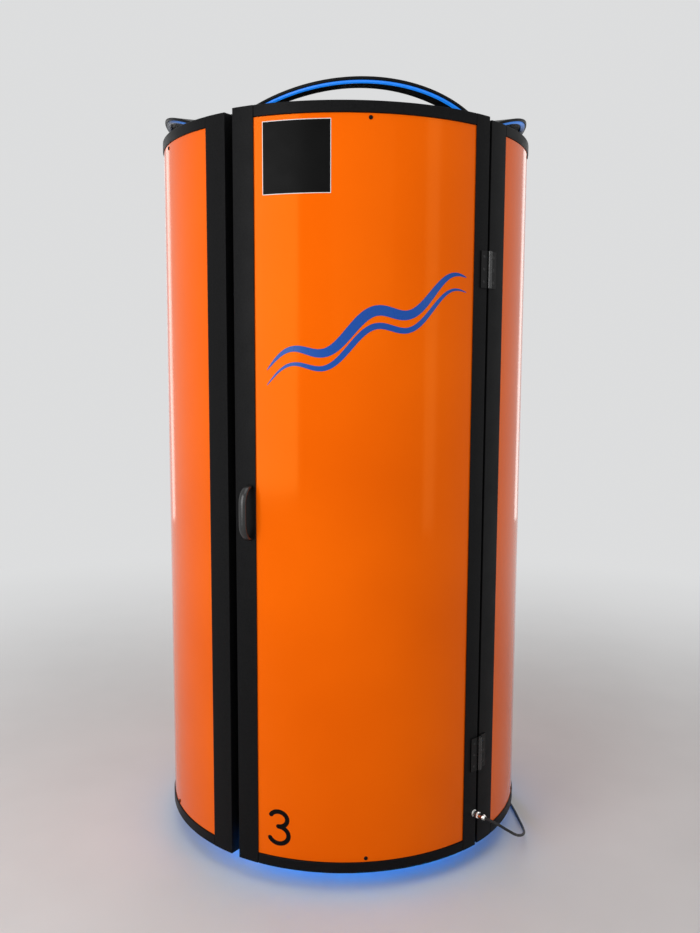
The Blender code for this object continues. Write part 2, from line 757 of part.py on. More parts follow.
def fan_blade(name, angle, height):
    """One twisted blade from inside the hub to the tip clearance."""
    root = FAN_HUB - SHEET
    tip = FAN_RADIUS - FAN_TIP_GAP
    form = bmesh.new()
    bmesh.ops.create_grid(form, x_segments=4, y_segments=3, size=0.5)
    for vert in form.verts:
        share = vert.co.x + 0.5
        reach = root + share * (tip - root)
        pitch = math.radians(BLADE_ROOT_PITCH + (BLADE_TIP_PITCH - BLADE_ROOT_PITCH) * share)
        chord = vert.co.y * (BLADE_ROOT_CHORD + (BLADE_TIP_CHORD - BLADE_ROOT_CHORD) * share)
        turn = math.radians(angle) + chord * math.cos(pitch) / reach
        rise = chord * math.sin(pitch) * (1 - BLADE_TIP_FLAT * share)
        vert.co = (reach * math.cos(turn), reach * math.sin(turn), height + rise)
    mesh = bpy.data.meshes.new(name)
    form.to_mesh(mesh)
    form.free()
    obj = bpy.data.objects.new(name, mesh)
    sheet = obj.modifiers.new("sheet", "SOLIDIFY")
    sheet.thickness = BLADE_SHEET
    sheet.offset = 0.0
    return obj


def make_guard():
    """A finger guard cut from sheet: rings of slots between its spokes."""
    outer = FAN_RADIUS + GUARD_LAP
    outlines = [circle(outer, GUARD_STEP / 2)]
    first = FAN_HUB
    step = (FAN_RADIUS - first) / GUARD_RINGS
    for k in range(GUARD_RINGS):
        inner = first + k * step
        edge = inner + step - GUARD_BAR
        spoke = angle_of(GUARD_BAR / 2, inner)
        for part in range(GUARD_SPOKES):
            start = 360 * part / GUARD_SPOKES + spoke
            end = 360 * (part + 1) / GUARD_SPOKES - spoke
            outlines.append(sector(inner, edge, start, end, GUARD_STEP))
    top = CEILING - FIT
    add_part(plate("fan_guard", outlines, top - DECK, top), BLACK_COAT, CABINET)


def make_control_panel():
    back = COLUMN_FACE_Y - FIT
    front = back - PANEL_DEPTH
    panel = block("control_panel", (PANEL_WIDTH, PANEL_DEPTH, PANEL_HEIGHT), bevel=EDGE_ROUND)
    panel.location = (0, (front + back) / 2, PANEL_Z)
    bore_depth = PANEL_DEPTH - BUTTON_SEAT
    length = bore_depth - BUTTON_TRAVEL - SLIDE_FIT + BUTTON_PROUD
    buttons = (("start_button", 1, GREEN_BUTTON), ("stop_button", -1, RED_BUTTON))
    for name, side, material in buttons:
        height = PANEL_Z + side * BUTTON_SPACING / 2
        bore = cylinder(name + "_bore", BUTTON_RADIUS + FIT, 2 * bore_depth)
        face_along(bore, (0, front, height), (0, 1, 0))
        cut(panel, bore)
        button = cylinder(name, BUTTON_RADIUS, length)
        face_along(button, (0, front - BUTTON_PROUD + length / 2, height), (0, 1, 0))
        add_part(button, material)
    add_part(panel, BLACK_PLASTIC, CABINET)


def behind_brow(name, start, end):
    """The room above the door's top and behind its raised front edge."""
    side = angle_of(SHEET, SHAFT_RADIUS)
    left, right = sorted((start, end))
    outline = sector(SHAFT_RADIUS - SHEET, DOOR_FACE - BROW_DEPTH, left - side, right + side)
    return plate(name + "_step", [outline], DOOR_TOP, DOOR_CREST + SHEET)


def make_door_frame():
    low = BASE_LIFT
    stiles = (
        ("door_latch_stile", DOOR_LATCH_ANGLE, DOOR_PANEL_LEFT),
        ("door_hinge_stile", DOOR_HINGE_ANGLE, DOOR_PANEL_RIGHT),
    )
    for name, edge, back in stiles:
        stile = jamb(name, edge, back, SHAFT_RADIUS, DOOR_FACE, low, DOOR_TOP, BROW_HEIGHT)
        cut(stile, behind_brow(name, edge, back))
        add_part(stile, BLACK_COAT, DOOR)
    butt = angle_of(FIT, SHAFT_RADIUS)
    start = DOOR_PANEL_LEFT + butt
    end = DOOR_PANEL_RIGHT - butt
    side = angle_of(SHEET, SHAFT_RADIUS)
    outline = sector(SHAFT_RADIUS, DOOR_FACE, start, end)
    hollow = sector(SHAFT_RADIUS + SHEET, DOOR_FACE - SHEET, start + side, end - side)
    bottom_high = low + BAND_HEIGHT
    bottom = plate("door_bottom_rail", [outline], low, bottom_high)
    cut(bottom, plate("door_bottom_hollow", [hollow], low + SHEET, bottom_high + SHEET))
    add_part(bottom, BLACK_COAT, DOOR)
    top = plate("door_top_rail", [outline], DOOR_RAIL_LOW, DOOR_CREST)
    cut(top, plate("door_top_hollow", [hollow], DOOR_RAIL_LOW - SHEET, DOOR_TOP - SHEET))
    cut(top, behind_brow("door_top", start, end))
    add_part(top, BLACK_COAT, DOOR)


def make_door_fill():
    low = BASE_LIFT + BAND_HEIGHT + FIT
    high = DOOR_RAIL_LOW - FIT
    face = DOOR_FACE - SHEET - 2 * SLIDE_FIT
    lip_left = DOOR_PANEL_LEFT - LIP_ANGLE
    lip_right = DOOR_PANEL_RIGHT + LIP_ANGLE
    outline = sector(face - SKIN, face, lip_left, lip_right)
    add_part(plate("door_panel", [outline], low, high), GLOSS_ORANGE, DOOR)
    butt = angle_of(SLIDE_FIT, SHAFT_RADIUS)
    start = DOOR_PANEL_LEFT + butt
    end = DOOR_PANEL_RIGHT - butt
    bank = lamp_bank("door_lamp_bank", start, end, low, high)
    add_part(bank, LAMP_GLASS, DOOR)
    rail = LAMP_RAIL_HEIGHT + FIT
    sheet = reflector("door_reflector", start, end, low + rail, high - rail)
    add_part(sheet, BRIGHT_SHEET, DOOR)
    outline = sector(SHIELD_FACE - SHIELD, SHIELD_FACE, DOOR_LATCH_ANGLE, DOOR_HINGE_ANGLE)
    add_part(plate("door_lamp_shield", [outline], low, high), CLEAR_ACRYLIC, DOOR)


def hinge_leaf(name, side, face, low, high, barrel_low, barrel_high):
    """A hinge plate on a curved face with one knuckle, joined to it by a tab at the knuckle's height."""
    clear = angle_of(KNUCKLE_RADIUS + 2 * SLIDE_FIT, HINGE_CIRCLE)
    near = HINGE_ANGLE + side * clear
    far = near + side * angle_of(HINGE_LEAF_WIDTH, HINGE_CIRCLE)
    tab_end = HINGE_ANGLE + side * 2 * clear
    inner = face + FIT
    outer = inner + HINGE_LEAF
    leaf = plate(name, [sector(inner, outer, *sorted((near, far)))], low, high)
    tab = sector(inner, outer, *sorted((HINGE_ANGLE, tab_end)))
    join(leaf, plate(name + "_tab", [tab], barrel_low, barrel_high))
    knuckle = cylinder(name + "_knuckle", KNUCKLE_RADIUS, barrel_high - barrel_low, sides=HINGE_SIDES)
    knuckle.location = polar_point(HINGE_CIRCLE, HINGE_ANGLE, (barrel_low + barrel_high) / 2)
    join(leaf, knuckle)
    bore = cylinder(name + "_bore", HINGE_PIN_RADIUS + FIT, 2 * HINGE_LENGTH, sides=HINGE_SIDES)
    bore.location = knuckle.location
    cut(leaf, bore)
    return leaf


def make_hinges():
    for level, middle in (("upper", UPPER_HINGE_Z), ("lower", LOWER_HINGE_Z)):
        low = middle - HINGE_LENGTH / 2
        high = middle + HINGE_LENGTH / 2
        body = hinge_leaf(f"{level}_hinge_body_leaf", 1, CABIN_FACE, low, high, low, middle - FIT / 2)
        add_part(body, BLACK_COAT, CABINET)
        leaf = hinge_leaf(f"{level}_hinge_door_leaf", -1, DOOR_FACE, low, high, middle + FIT / 2, high)
        add_part(leaf, BLACK_COAT, DOOR)
        pin = cylinder(f"{level}_hinge_pin", HINGE_PIN_RADIUS, HINGE_LENGTH, sides=HINGE_SIDES)
        pin.location = polar_point(HINGE_CIRCLE, HINGE_ANGLE, middle)
        add_part(pin, STEEL, CABINET)


def make_handle():
    seat = DOOR_FACE + FIT
    out = seat + HANDLE_REACH - HANDLE_THICKNESS / 2
    half = HANDLE_SPACING / 2
    side = [(seat, half)]
    for k in range(HANDLE_STEPS):
        turn = math.pi / 2 * k / (HANDLE_STEPS - 1)
        reach = out - HANDLE_BEND * (1 - math.sin(turn))
        side.append((reach, half - HANDLE_ARCH * (1 - math.cos(turn))))
    path = [(reach, HANDLE_Z - height) for reach, height in side]
    path += [(reach, HANDLE_Z + height) for reach, height in reversed(side)]
    handle = strap("door_handle", path, HANDLE_ANGLE, HANDLE_WIDTH, HANDLE_THICKNESS, HANDLE_SIDES)
    add_part(handle, BLACK_PLASTIC, DOOR)


def jamb_block(name, depth_start, depth, width_start, width):
    """A block set square to the latch-side jamb, measured outwards and then towards the door."""
    obj = block(name, (width, depth, CATCH_HEIGHT))
    turn = math.radians(-OPENING_HALF)
    along = Vector((math.cos(turn), math.sin(turn), 0))
    obj.rotation_euler.z = turn
    obj.location = polar_point(depth_start + depth / 2, -OPENING_HALF, HANDLE_Z)
    obj.location += along * (width_start + width / 2)
    return obj


def make_catch():
    magnet_start = SHAFT_RADIUS + SHEET
    magnet = jamb_block("catch_magnet", magnet_start, MAGNET_DEPTH, FIT, MAGNET_WIDTH)
    add_part(magnet, STEEL, CABINET)
    strike_start = magnet_start + MAGNET_DEPTH + FIT
    gap = math.radians(DOOR_LATCH_ANGLE + OPENING_HALF)
    stile_side = strike_start * math.tan(gap) - FIT
    left = MAGNET_WIDTH - STRIKE_LAP
    strike = jamb_block("catch_strike", strike_start, STRIKE_SHEET, left, stile_side - left)
    add_part(strike, STEEL, DOOR)


def gland_profile():
    """A cable gland with a nut and a domed cap, standing along Z."""
    return [
        (GLAND_MOUTH, GLAND_LENGTH),
        (GLAND_CAP_RADIUS, GLAND_CAP_LENGTH),
        (GLAND_NECK_RADIUS, GLAND_NUT),
        (GLAND_RADIUS, GLAND_NUT),
        (GLAND_RADIUS, 0.0),
        (GLAND_BORE, 0.0),
        (GLAND_BORE, GLAND_LENGTH),
    ]


def connector_profile():
    """A round plug connector: a flange, a coupling ring and a clamping nut on a slim body."""
    return [
        (GLAND_MOUTH, CONNECTOR_LENGTH),
        (CONNECTOR_NUT_RADIUS, CONNECTOR_NUT_HIGH),
        (CONNECTOR_NUT_RADIUS, CONNECTOR_NUT_LOW),
        (CONNECTOR_BODY_RADIUS, CONNECTOR_NUT_LOW),
        (CONNECTOR_BODY_RADIUS, CONNECTOR_RING_HIGH),
        (CONNECTOR_RING_RADIUS, CONNECTOR_RING_HIGH),
        (CONNECTOR_RING_RADIUS, CONNECTOR_RING_LOW),
        (CONNECTOR_BODY_RADIUS, CONNECTOR_RING_LOW),
        (CONNECTOR_BODY_RADIUS, CONNECTOR_FLANGE),
        (CONNECTOR_FLANGE_RADIUS, CONNECTOR_FLANGE),
        (CONNECTOR_FLANGE_RADIUS, 0.0),
        (GLAND_BORE, 0.0),
        (GLAND_BORE, CONNECTOR_LENGTH),
    ]


def smooth_line(points, steps):
    """Points on a smooth curve that passes through each given point."""
    spans = [(b - a).length for a, b in zip(points, points[1:])]
    slopes = [(b - a) / span for a, b, span in zip(points, points[1:], spans)]
    ways = [slopes[0]]
    for before, after, span, next_span in zip(slopes, slopes[1:], spans, spans[1:]):
        ways.append((before * next_span + after * span) / (span + next_span))
    ways.append(slopes[-1])
    line = []
    for a, b, leave, arrive, span in zip(points, points[1:], ways, ways[1:], spans):
        for k in range(steps):
            t = k / steps
            blend = 3 * t**2 - 2 * t**3
            bulge = leave * (t**3 - 2 * t**2 + t) + arrive * (t**3 - t**2)
            line.append(a * (1 - blend) + b * blend + bulge * span)
    return [*line, points[-1]]


def seat_gland(name, profile, seat, angle, height, parent):
    """Sets a turned gland on a round wall and gives the two points where its lead comes straight out."""
    way = Vector((*polar(1.0, angle), 0))
    base = polar_point(seat, angle, height)
    length = max(rise for _, rise in profile)
    add_part(face_along(turned(name, profile, steps=GLAND_SIDES), base, way), STEEL, parent)
    mouth = base + way * (length + FIT)
    return mouth, mouth + way * CABLE_STRAIGHT


def cable_route():
    """Free points of the lead, from angles past the connector and reaches beyond the door's face."""
    return [
        polar_point(DOOR_FACE + reach, DOOR_GLAND_ANGLE + angle, height)
        for angle, reach, height in CABLE_ROUTE
    ]


def make_cable():
    door_seat = DOOR_FACE + FIT
    door_end = seat_gland("door_gland", connector_profile(), door_seat, DOOR_GLAND_ANGLE, DOOR_GLAND_Z, DOOR)
    base_seat = PLINTH_RADIUS + FIT
    base_end = seat_gland("base_gland", gland_profile(), base_seat, BASE_GLAND_ANGLE, BASE_GLAND_Z, CABINET)
    line = smooth_line([*door_end, *cable_route(), *reversed(base_end)], CABLE_STEPS)
    add_part(tube("door_cable", line, CABLE_RADIUS, 2), RUBBER, CABINET)


make_base()
make_uprights()
make_skins()
make_roof()
make_crown()
make_lamps()
make_fan()
make_control_panel()
make_door_frame()
make_door_fill()
make_hinges()
make_handle()
make_catch()
make_cable()
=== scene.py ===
"""Looks of a stand-up tanning cabin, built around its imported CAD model.

Units are metres. Angles are degrees in plan: 0 is the front (-Y), and they grow towards the right (+X).
"""

import math
from collections import namedtuple

import bmesh
import bpy
from mathutils import Matrix, Vector


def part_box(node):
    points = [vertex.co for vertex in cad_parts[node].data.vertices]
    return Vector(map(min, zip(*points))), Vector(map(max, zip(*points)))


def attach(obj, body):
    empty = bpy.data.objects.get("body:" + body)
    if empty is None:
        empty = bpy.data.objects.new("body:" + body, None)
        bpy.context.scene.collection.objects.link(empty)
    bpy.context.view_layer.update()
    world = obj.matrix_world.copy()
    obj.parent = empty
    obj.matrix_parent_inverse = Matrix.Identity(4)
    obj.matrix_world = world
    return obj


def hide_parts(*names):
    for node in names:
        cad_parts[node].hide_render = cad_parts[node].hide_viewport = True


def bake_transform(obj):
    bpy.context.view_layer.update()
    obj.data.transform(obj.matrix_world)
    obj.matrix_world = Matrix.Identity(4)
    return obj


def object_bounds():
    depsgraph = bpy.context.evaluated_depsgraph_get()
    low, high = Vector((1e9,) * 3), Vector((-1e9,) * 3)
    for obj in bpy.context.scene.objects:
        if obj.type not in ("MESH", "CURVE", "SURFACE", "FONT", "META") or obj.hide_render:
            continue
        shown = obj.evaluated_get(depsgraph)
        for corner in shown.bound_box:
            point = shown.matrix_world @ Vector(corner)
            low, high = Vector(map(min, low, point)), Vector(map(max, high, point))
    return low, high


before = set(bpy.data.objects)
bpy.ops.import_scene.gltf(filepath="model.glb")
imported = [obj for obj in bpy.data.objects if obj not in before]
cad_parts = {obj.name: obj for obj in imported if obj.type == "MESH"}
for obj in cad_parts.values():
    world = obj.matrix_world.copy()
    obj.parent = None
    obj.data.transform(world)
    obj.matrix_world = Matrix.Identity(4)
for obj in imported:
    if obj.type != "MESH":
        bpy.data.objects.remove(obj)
cad_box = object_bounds()

# Camera, as fitted to the photograph
CAMERA_PLACE = (-0.257, -2.965, 1.480)
CAMERA_HEADING = 5.29
CAMERA_PITCH = 6.56
CAMERA_ROLL = 0.26
CAMERA_LENS = 35.44
SENSOR = 36.0

# Mesh detail: angle steps, rounded edges and welds
FINE_STEP = 1.5
CROWN_LIGHT_STEP = 1.0
RING_STEPS = 144
EDGE = 0.0010
SHIELD_EDGE = 0.0006
HANDLE_EDGE = 0.0008
CHANNEL_EDGE = 0.0014
CROWN_EDGE = 0.0020
SOFT_EDGE = 0.0022
EDGE_SEGMENTS = 2
SHARP = math.radians(35)
SEAM_WELD = 1e-6
FACET_WELD = 1e-5
SHEET = 0.003
FIT = 0.0003

# Crown wave, as in the CAD source
CROWN_RISE = 0.059
CROWN_SHEET = 0.008
CROWN_FOOT = 0.515
CROWN_TIP = 0.555
CROWN_WIDTH = 0.080
CROWN_ARCHES = {"front": (1.5, 38.0), "right": (75.5, 29.0), "rear": (180.0, 38.0), "left": (272.8, 29.0)}

# Light strips of the crown and the plinth, and where those of the side arches turn from painted shade along
# the crest to full glow at the feet
CROWN_LIGHT_WIDTH = 0.012
CROWN_LIGHT_HEIGHT = 0.006
CROWN_LIGHT_INSET = 0.005
CROWN_LIGHT_ROUND = 0.3
SIDE_LIGHT_CREST = 0.10
SIDE_LIGHT_FOOT = 0.22
PLINTH_LIGHT_FLAT = 0.4
PLINTH_LIGHT_BENDS = 6

# Raised front edge along the door's top
BROW_HEIGHT = 0.008
BROW_DEPTH = 0.030

# Lamps: widths are shares of a lamp's radius, and TUBE_DARK and TUBE_PALE of the cabin's height
LAMP_RADIUS = 0.019
LAMP_CIRCLE = 0.48668
LAMP_PITCH = 8.3
LAMP_SIDES = 24
LAMP_RAIL_HEIGHT = 0.060
LAMP_SOCKET = 0.010
LAMP_CAP = 0.030
LAMP_END_ROUND = 0.002
LAMP_END_GAP = 0.0005
SOCKET_RIM = 0.94
CAP_WIDTH = 0.97
CAP_RIM = 0.9
TUBE_WIDTH = 0.98
TUBE_RIM = 0.8
TUBE_ROUND = 0.006
TUBE_DARK = (0.080, 0.918)
TUBE_PALE = (0.105, 0.895)

# Handle
HANDLE_ANGLE = -32.1
HANDLE_Z = 1.068
HANDLE_SPACING = 0.143
HANDLE_REACH = 0.042
HANDLE_WIDTH = 0.022
HANDLE_THICKNESS = 0.013
HANDLE_BEND = 0.034
HANDLE_ARCH = 0.045
HANDLE_STEPS = 12
HANDLE_SIDES = 28

# Hinges, as in the CAD source, and the bodies that carry their leaves
KNUCKLE_RADIUS = 0.006
HINGE_LEAVES = (
    ("upper_hinge_body_leaf", "cabinet"), ("lower_hinge_body_leaf", "cabinet"),
    ("upper_hinge_door_leaf", "door"), ("lower_hinge_door_leaf", "door"),
)

# Door lead: its gland and connector, and the points between them as angles past the connector,
# reaches beyond the door's face, and heights
CABLE_RADIUS = 0.004
CABLE_STRAIGHT = 0.012
CABLE_SIDES = 20
CONNECTOR_ANGLE = 37.0
CONNECTOR_Z = 0.168
CONNECTOR_LENGTH = 0.048
BASE_MOUTH = (94.5, 0.4421, 0.016)
CABLE_ROUTE = [
    (0.2, 0.0757, 0.1664),
    (0.9, 0.0918, 0.160),
    (1.9, 0.1023, 0.150),
    (3.3, 0.1055, 0.1378),
    (5.8, 0.103, 0.1172),
    (9.8, 0.093, 0.090),
    (15.2, 0.079, 0.061),
    (21.2, 0.061, 0.035),
    (27.4, 0.040, 0.016),
    (33.6, 0.020, 0.008),
    (39.6, 0.004, 0.0065),
    (45.4, -0.009, 0.0065),
    (50.4, -0.022, 0.0068),
    (54.0, -0.042, 0.0085),
    (56.5, -0.074, 0.0125),
]
CABLE_FREE_FROM = (8.8, 0.120, 0.134)
CABLE_STEPS = 4

# Plug connector: profiles of (radius, reach) points
CONNECTOR_FLANGE = ((0.0105, 0.0), (0.0105, 0.0058), (0.0095, 0.007))
CONNECTOR_BODY = ((0.0076, 0.006), (0.0076, 0.040))
CONNECTOR_NUT = ((0.0078, 0.034), (0.0085, 0.035), (0.0085, 0.0415), (0.0056, CONNECTOR_LENGTH))
CONNECTOR_RING = ((0.0085, 0.011), (0.0095, 0.0122), (0.0095, 0.0238), (0.0085, 0.025))
CONNECTOR_RIDGES = 30
CONNECTOR_GROOVE = 0.0005
CONNECTOR_SIDES = 40

# Signs on the door: angles and heights of their edges
VINYL = 0.0004
PLATE_ANGLES = (-27.6, -8.8)
PLATE_HEIGHTS = (1.907, 2.092)
PLATE_BORDER = 0.0018
NUMERAL_ANGLE = -23.75
NUMERAL_FOOT = 0.126
NUMERAL_HEIGHT = 0.1065
NUMERAL_STROKE = 0.0130
NUMERAL_SPREAD = 1.18
NUMERAL_CAP = 0.055
NUMERAL_WAIST = 0.53
NUMERAL_TIP = 168
NUMERAL_MEET = 105
NUMERAL_STEP = 3

# Wave stripes on the door
WAVE_ANGLE = 2.0
WAVE_FOOT = 1.455
WAVE_LENGTH = 0.560
WAVE_RISE = 0.250
WAVE_HEIGHT = 0.026
WAVE_COUNT = 2.5
WAVE_STRIPES = ((0.0, 0.026), (-0.040, 0.015))
WAVE_TIP = 0.0015
WAVE_TAPER = 0.7
WAVE_STEPS = 100

# Screws: heads and sockets as shares of a screw's radius and height, and the hinges' own
SCREW_RADIUS = 0.0055
SCREW_HEIGHT = 0.0026
SCREW_EDGE = 0.011
SCREW_HEAD = ((1, 0), (1, 0.35), (0.86, 0.75), (0.6, 1), (0.45, 1))
SCREW_SOCKET = ((0.45, 0.2), (0.45, 1.02), (0.38, 1.02), (0.38, 0.4))
SCREW_SIDES = 24
SIDE_SCREW_ANGLES = (71.5, 110.0, 148.0)
HINGE_SCREW = ((0.0042, 0), (0.0036, 0.0007), (0.0018, 0.0007), (0.0016, 0.0002))
HINGE_SCREW_SIDES = 20
HINGE_SCREW_INSET = 1.2
HINGE_SCREW_SHARES = (0.16, 0.5, 0.84)

# Floor mat: its ribs, and where a rib's flanks start and end, as shares of the ribs' pitch
MAT_RIB = 0.0016
MAT_RIBS = 26
MAT_FLANKS = (0.15, 0.55, 0.70, 0.97)
MAT_HOLE = 0.012
MAT_CORE = 0.011
MAT_STEPS = 120
MAT_CORE_SIDES = 24

# Buttons: the dome's (share of the radius, depth under its top), and the collar's (margin, height)
BUTTON_DOME = ((1, 0.0020), (0.93, 0.0006), (0.7, 0), (0.2, 0))
BUTTON_COLLAR = ((0.0012, 0), (0.0045, 0), (0.0040, 0.0018), (0.0016, 0.0018))
BUTTON_SIDES = 40

# Studio
BACKDROP = (0.72, 0.725, 0.73)
AMBIENT = 0.36
FLOOR_NEAR = 1.0
FLOOR_FAR = 4.2
FLOOR_SIZE = 60.0
FLOOR_SIDES = 96
LIGHT_AIM = 1.1
UNDERGLOW_LAMPS = 16
UNDERGLOW_COLOUR = (0.0, 0.25, 1.0)
UNDERGLOW_POWER = 0.12

# The three curved walls and the bodies that carry them
SIDES = (("left", "cabinet"), ("right", "cabinet"), ("door", "door"))

UP = Vector((0, 0, 1))
FORWARD = Vector((0, -1, 0))

Span = namedtuple("Span", "inner outer start end low high")


def polar(radius, angle, height=0.0):
    """The point at a radius, an angle in plan and a height."""
    turn = math.radians(angle)
    return Vector((radius * math.sin(turn), -radius * math.cos(turn), height))


def span(node):
    """Radii, angles and heights that a CAD node reaches."""
    points = [v.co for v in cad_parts[node].data.vertices]
    radii = [math.hypot(p.x, p.y) for p in points]
    angles = [math.degrees(math.atan2(p.x, -p.y)) for p in points]
    if max(angles) - min(angles) > 180:
        angles = [a % 360 for a in angles]
    heights = [p.z for p in points]
    return Span(min(radii), max(radii), min(angles), max(angles), min(heights), max(heights))


# Materials


def nodes_of(name):
    """A new material, its node tree and its shader."""
    material = bpy.data.materials.new(name)
    material.use_nodes = True
    tree = material.node_tree
    return material, tree, tree.nodes["Principled BSDF"]


def coordinate(tree, axis):
    """One of the piece's own coordinates, in metres."""
    place = tree.nodes.new("ShaderNodeTexCoord")
    split = tree.nodes.new("ShaderNodeSeparateXYZ")
    tree.links.new(place.outputs["Object"], split.inputs["Vector"])
    return split.outputs[axis]


def noise(tree, scale, detail=3.0, stretch=(1, 1, 1)):
    """Noise in the piece's own metres; scale is in cycles per metre."""
    place = tree.nodes.new("ShaderNodeTexCoord")
    mapping = tree.nodes.new("ShaderNodeMapping")
    mapping.inputs["Scale"].default_value = stretch
    texture = tree.nodes.new("ShaderNodeTexNoise")
    texture.inputs["Scale"].default_value = scale
    texture.inputs["Detail"].default_value = detail
    tree.links.new(place.outputs["Object"], mapping.inputs["Vector"])
    tree.links.new(mapping.outputs["Vector"], texture.inputs["Vector"])
    return texture.outputs["Fac"]


def ramp(tree, factor, low, high, spread=(0.3, 0.7)):
    """Colours between low and high."""
    made = tree.nodes.new("ShaderNodeValToRGB")
    made.color_ramp.elements[0].position = spread[0]
    made.color_ramp.elements[0].color = (*low, 1)
    made.color_ramp.elements[1].position = spread[1]
    made.color_ramp.elements[1].color = (*high, 1)
    tree.links.new(factor, made.inputs["Fac"])
    return made.outputs["Color"]


def ranged(tree, factor, low, high, spread=(0.3, 0.7)):
    """Values between low and high."""
    made = tree.nodes.new("ShaderNodeMapRange")
    made.inputs["From Min"].default_value = spread[0]
    made.inputs["From Max"].default_value = spread[1]
    made.inputs["To Min"].default_value = low
    made.inputs["To Max"].default_value = high
    tree.links.new(factor, made.inputs["Value"])
    return made.outputs["Result"]


def bump(tree, height, depth, strength=1.0, under=None):
    """A normal bent by a height, over another bump where one is given."""
    made = tree.nodes.new("ShaderNodeBump")
    made.inputs["Distance"].default_value = depth
    made.inputs["Strength"].default_value = strength
    tree.links.new(height, made.inputs["Height"])
    if under:
        tree.links.new(under, made.inputs["Normal"])
    return made.outputs["Normal"]


def surface(name, low, high, rough, grain, depth, patch=4.0, metallic=0.0, specular=0.5, stretch=(1, 1, 1)):
    """A finish with slow colour patches, uneven gloss and a fine grain."""
    material, tree, shader = nodes_of(name)
    links = tree.links
    links.new(ramp(tree, noise(tree, patch), low, high), shader.inputs["Base Color"])
    links.new(ranged(tree, noise(tree, patch * 5, 5.0, stretch), *rough), shader.inputs["Roughness"])
    links.new(bump(tree, noise(tree, grain, 2.0, stretch), depth), shader.inputs["Normal"])
    shader.inputs["Metallic"].default_value = metallic
    shader.inputs["Specular IOR Level"].default_value = specular
    return material


def orange_gloss():
    """Glossy tinted sheet: a slow waviness that bends its reflections, over a faint orange peel."""
    material, tree, shader = nodes_of("orange_gloss_sheet")
    links = tree.links
    colour = ramp(tree, noise(tree, 2.2, 2.0), (0.84, 0.112, 0.0006), (0.92, 0.132, 0.001))
    links.new(colour, shader.inputs["Base Color"])
    links.new(ranged(tree, noise(tree, 9.0, 5.0), 0.09, 0.14), shader.inputs["Roughness"])
    wave = bump(tree, noise(tree, 5.0, 1.0, (1, 1, 0.25)), 0.003, 0.35)
    peel = bump(tree, noise(tree, 420.0, 1.0), 0.00002, 0.5, wave)
    links.new(peel, shader.inputs["Normal"])
    shader.inputs["Specular IOR Level"].default_value = 0.30
    shader.inputs["Specular Tint"].default_value = (1.0, 0.50, 0.06, 1)
    return material


def powder_coat():
    """Black powder coat: a fine leathery texture, with worn pale specks here and there."""
    material, tree, shader = nodes_of("black_powder_coat")
    links = tree.links
    colour = ramp(tree, noise(tree, 240.0, 4.0), (0.0025, 0.0025, 0.0028), (0.0065, 0.0065, 0.0070))
    links.new(colour, shader.inputs["Base Color"])
    links.new(ranged(tree, noise(tree, 14.0, 5.0), 0.36, 0.50), shader.inputs["Roughness"])
    links.new(bump(tree, noise(tree, 900.0, 2.0), 0.00012, 0.5), shader.inputs["Normal"])
    shader.inputs["Specular IOR Level"].default_value = 0.08
    return material


def light_strip(name, green, strength):
    """Blue diffuser over a row of small lamps."""
    material, tree, shader = nodes_of(name)
    glow = ramp(tree, noise(tree, 60.0, 0.0), (0.003, 0.87 * green, 0.85), (0.004, green, 1.0))
    tree.links.new(glow, shader.inputs["Emission Color"])
    shader.inputs["Emission Strength"].default_value = strength
    shader.inputs["Base Color"].default_value = (0.02, 0.12, 0.5, 1)
    shader.inputs["Roughness"].default_value = 0.4
    return material


def side_light_strip_painted_shade():
    """The side arches' diffuser: bright at an arch's feet, and dark along its crest with painted shade, as if
    the band hid the strip there.
    """
    material, tree, shader = nodes_of("side_light_diffuser_painted_shade")
    away = tree.nodes.new("ShaderNodeMath")
    away.operation = "ABSOLUTE"
    tree.links.new(coordinate(tree, "Y"), away.inputs[0])
    # Painted shade: the glow fades from the feet to near dark along the crest, as if the band hid the strip
    along = ranged(tree, away.outputs[0], 0.0, 1.0, (SIDE_LIGHT_CREST, SIDE_LIGHT_FOOT))
    glow = ramp(tree, along, (0.0005, 0.006, 0.022), (0.004, 0.22, 0.85), (0.0, 1.0))
    tree.links.new(glow, shader.inputs["Emission Color"])
    shader.inputs["Emission Strength"].default_value = 0.65
    shader.inputs["Base Color"].default_value = (0.010, 0.014, 0.022, 1)
    shader.inputs["Roughness"].default_value = 0.4
    return material


def clear_sheet():
    """Clear acrylic with a faint haze of wiping marks."""
    material, tree, shader = nodes_of("clear_acrylic_sheet")
    links = tree.links
    colour = ramp(tree, noise(tree, 6.0), (0.86, 0.92, 0.98), (0.95, 0.98, 1.0))
    links.new(colour, shader.inputs["Base Color"])
    links.new(ranged(tree, noise(tree, 30.0, 5.0, (1, 1, 0.2)), 0.03, 0.10), shader.inputs["Roughness"])
    shader.inputs["Alpha"].default_value = 0.14
    return material


def lamp_glass():
    """Phosphor-coated tube that darkens towards its ends."""
    material, tree, shader = nodes_of("lamp_tube_glass")
    height = ranged(tree, coordinate(tree, "Z"), 0.0, 1.0, (cad_box[0].z, cad_box[1].z))
    made = tree.nodes.new("ShaderNodeValToRGB")
    steps = made.color_ramp.elements
    for step, position in zip(steps, TUBE_DARK):
        step.position = position
        step.color = (0.32, 0.33, 0.38, 1)
    for position in TUBE_PALE:
        step = steps.new(position)
        step.color = (0.80, 0.84, 0.93, 1)
    tree.links.new(height, made.inputs["Fac"])
    tree.links.new(made.outputs["Color"], shader.inputs["Base Color"])
    tree.links.new(ranged(tree, noise(tree, 40.0), 0.10, 0.18), shader.inputs["Roughness"])
    return material


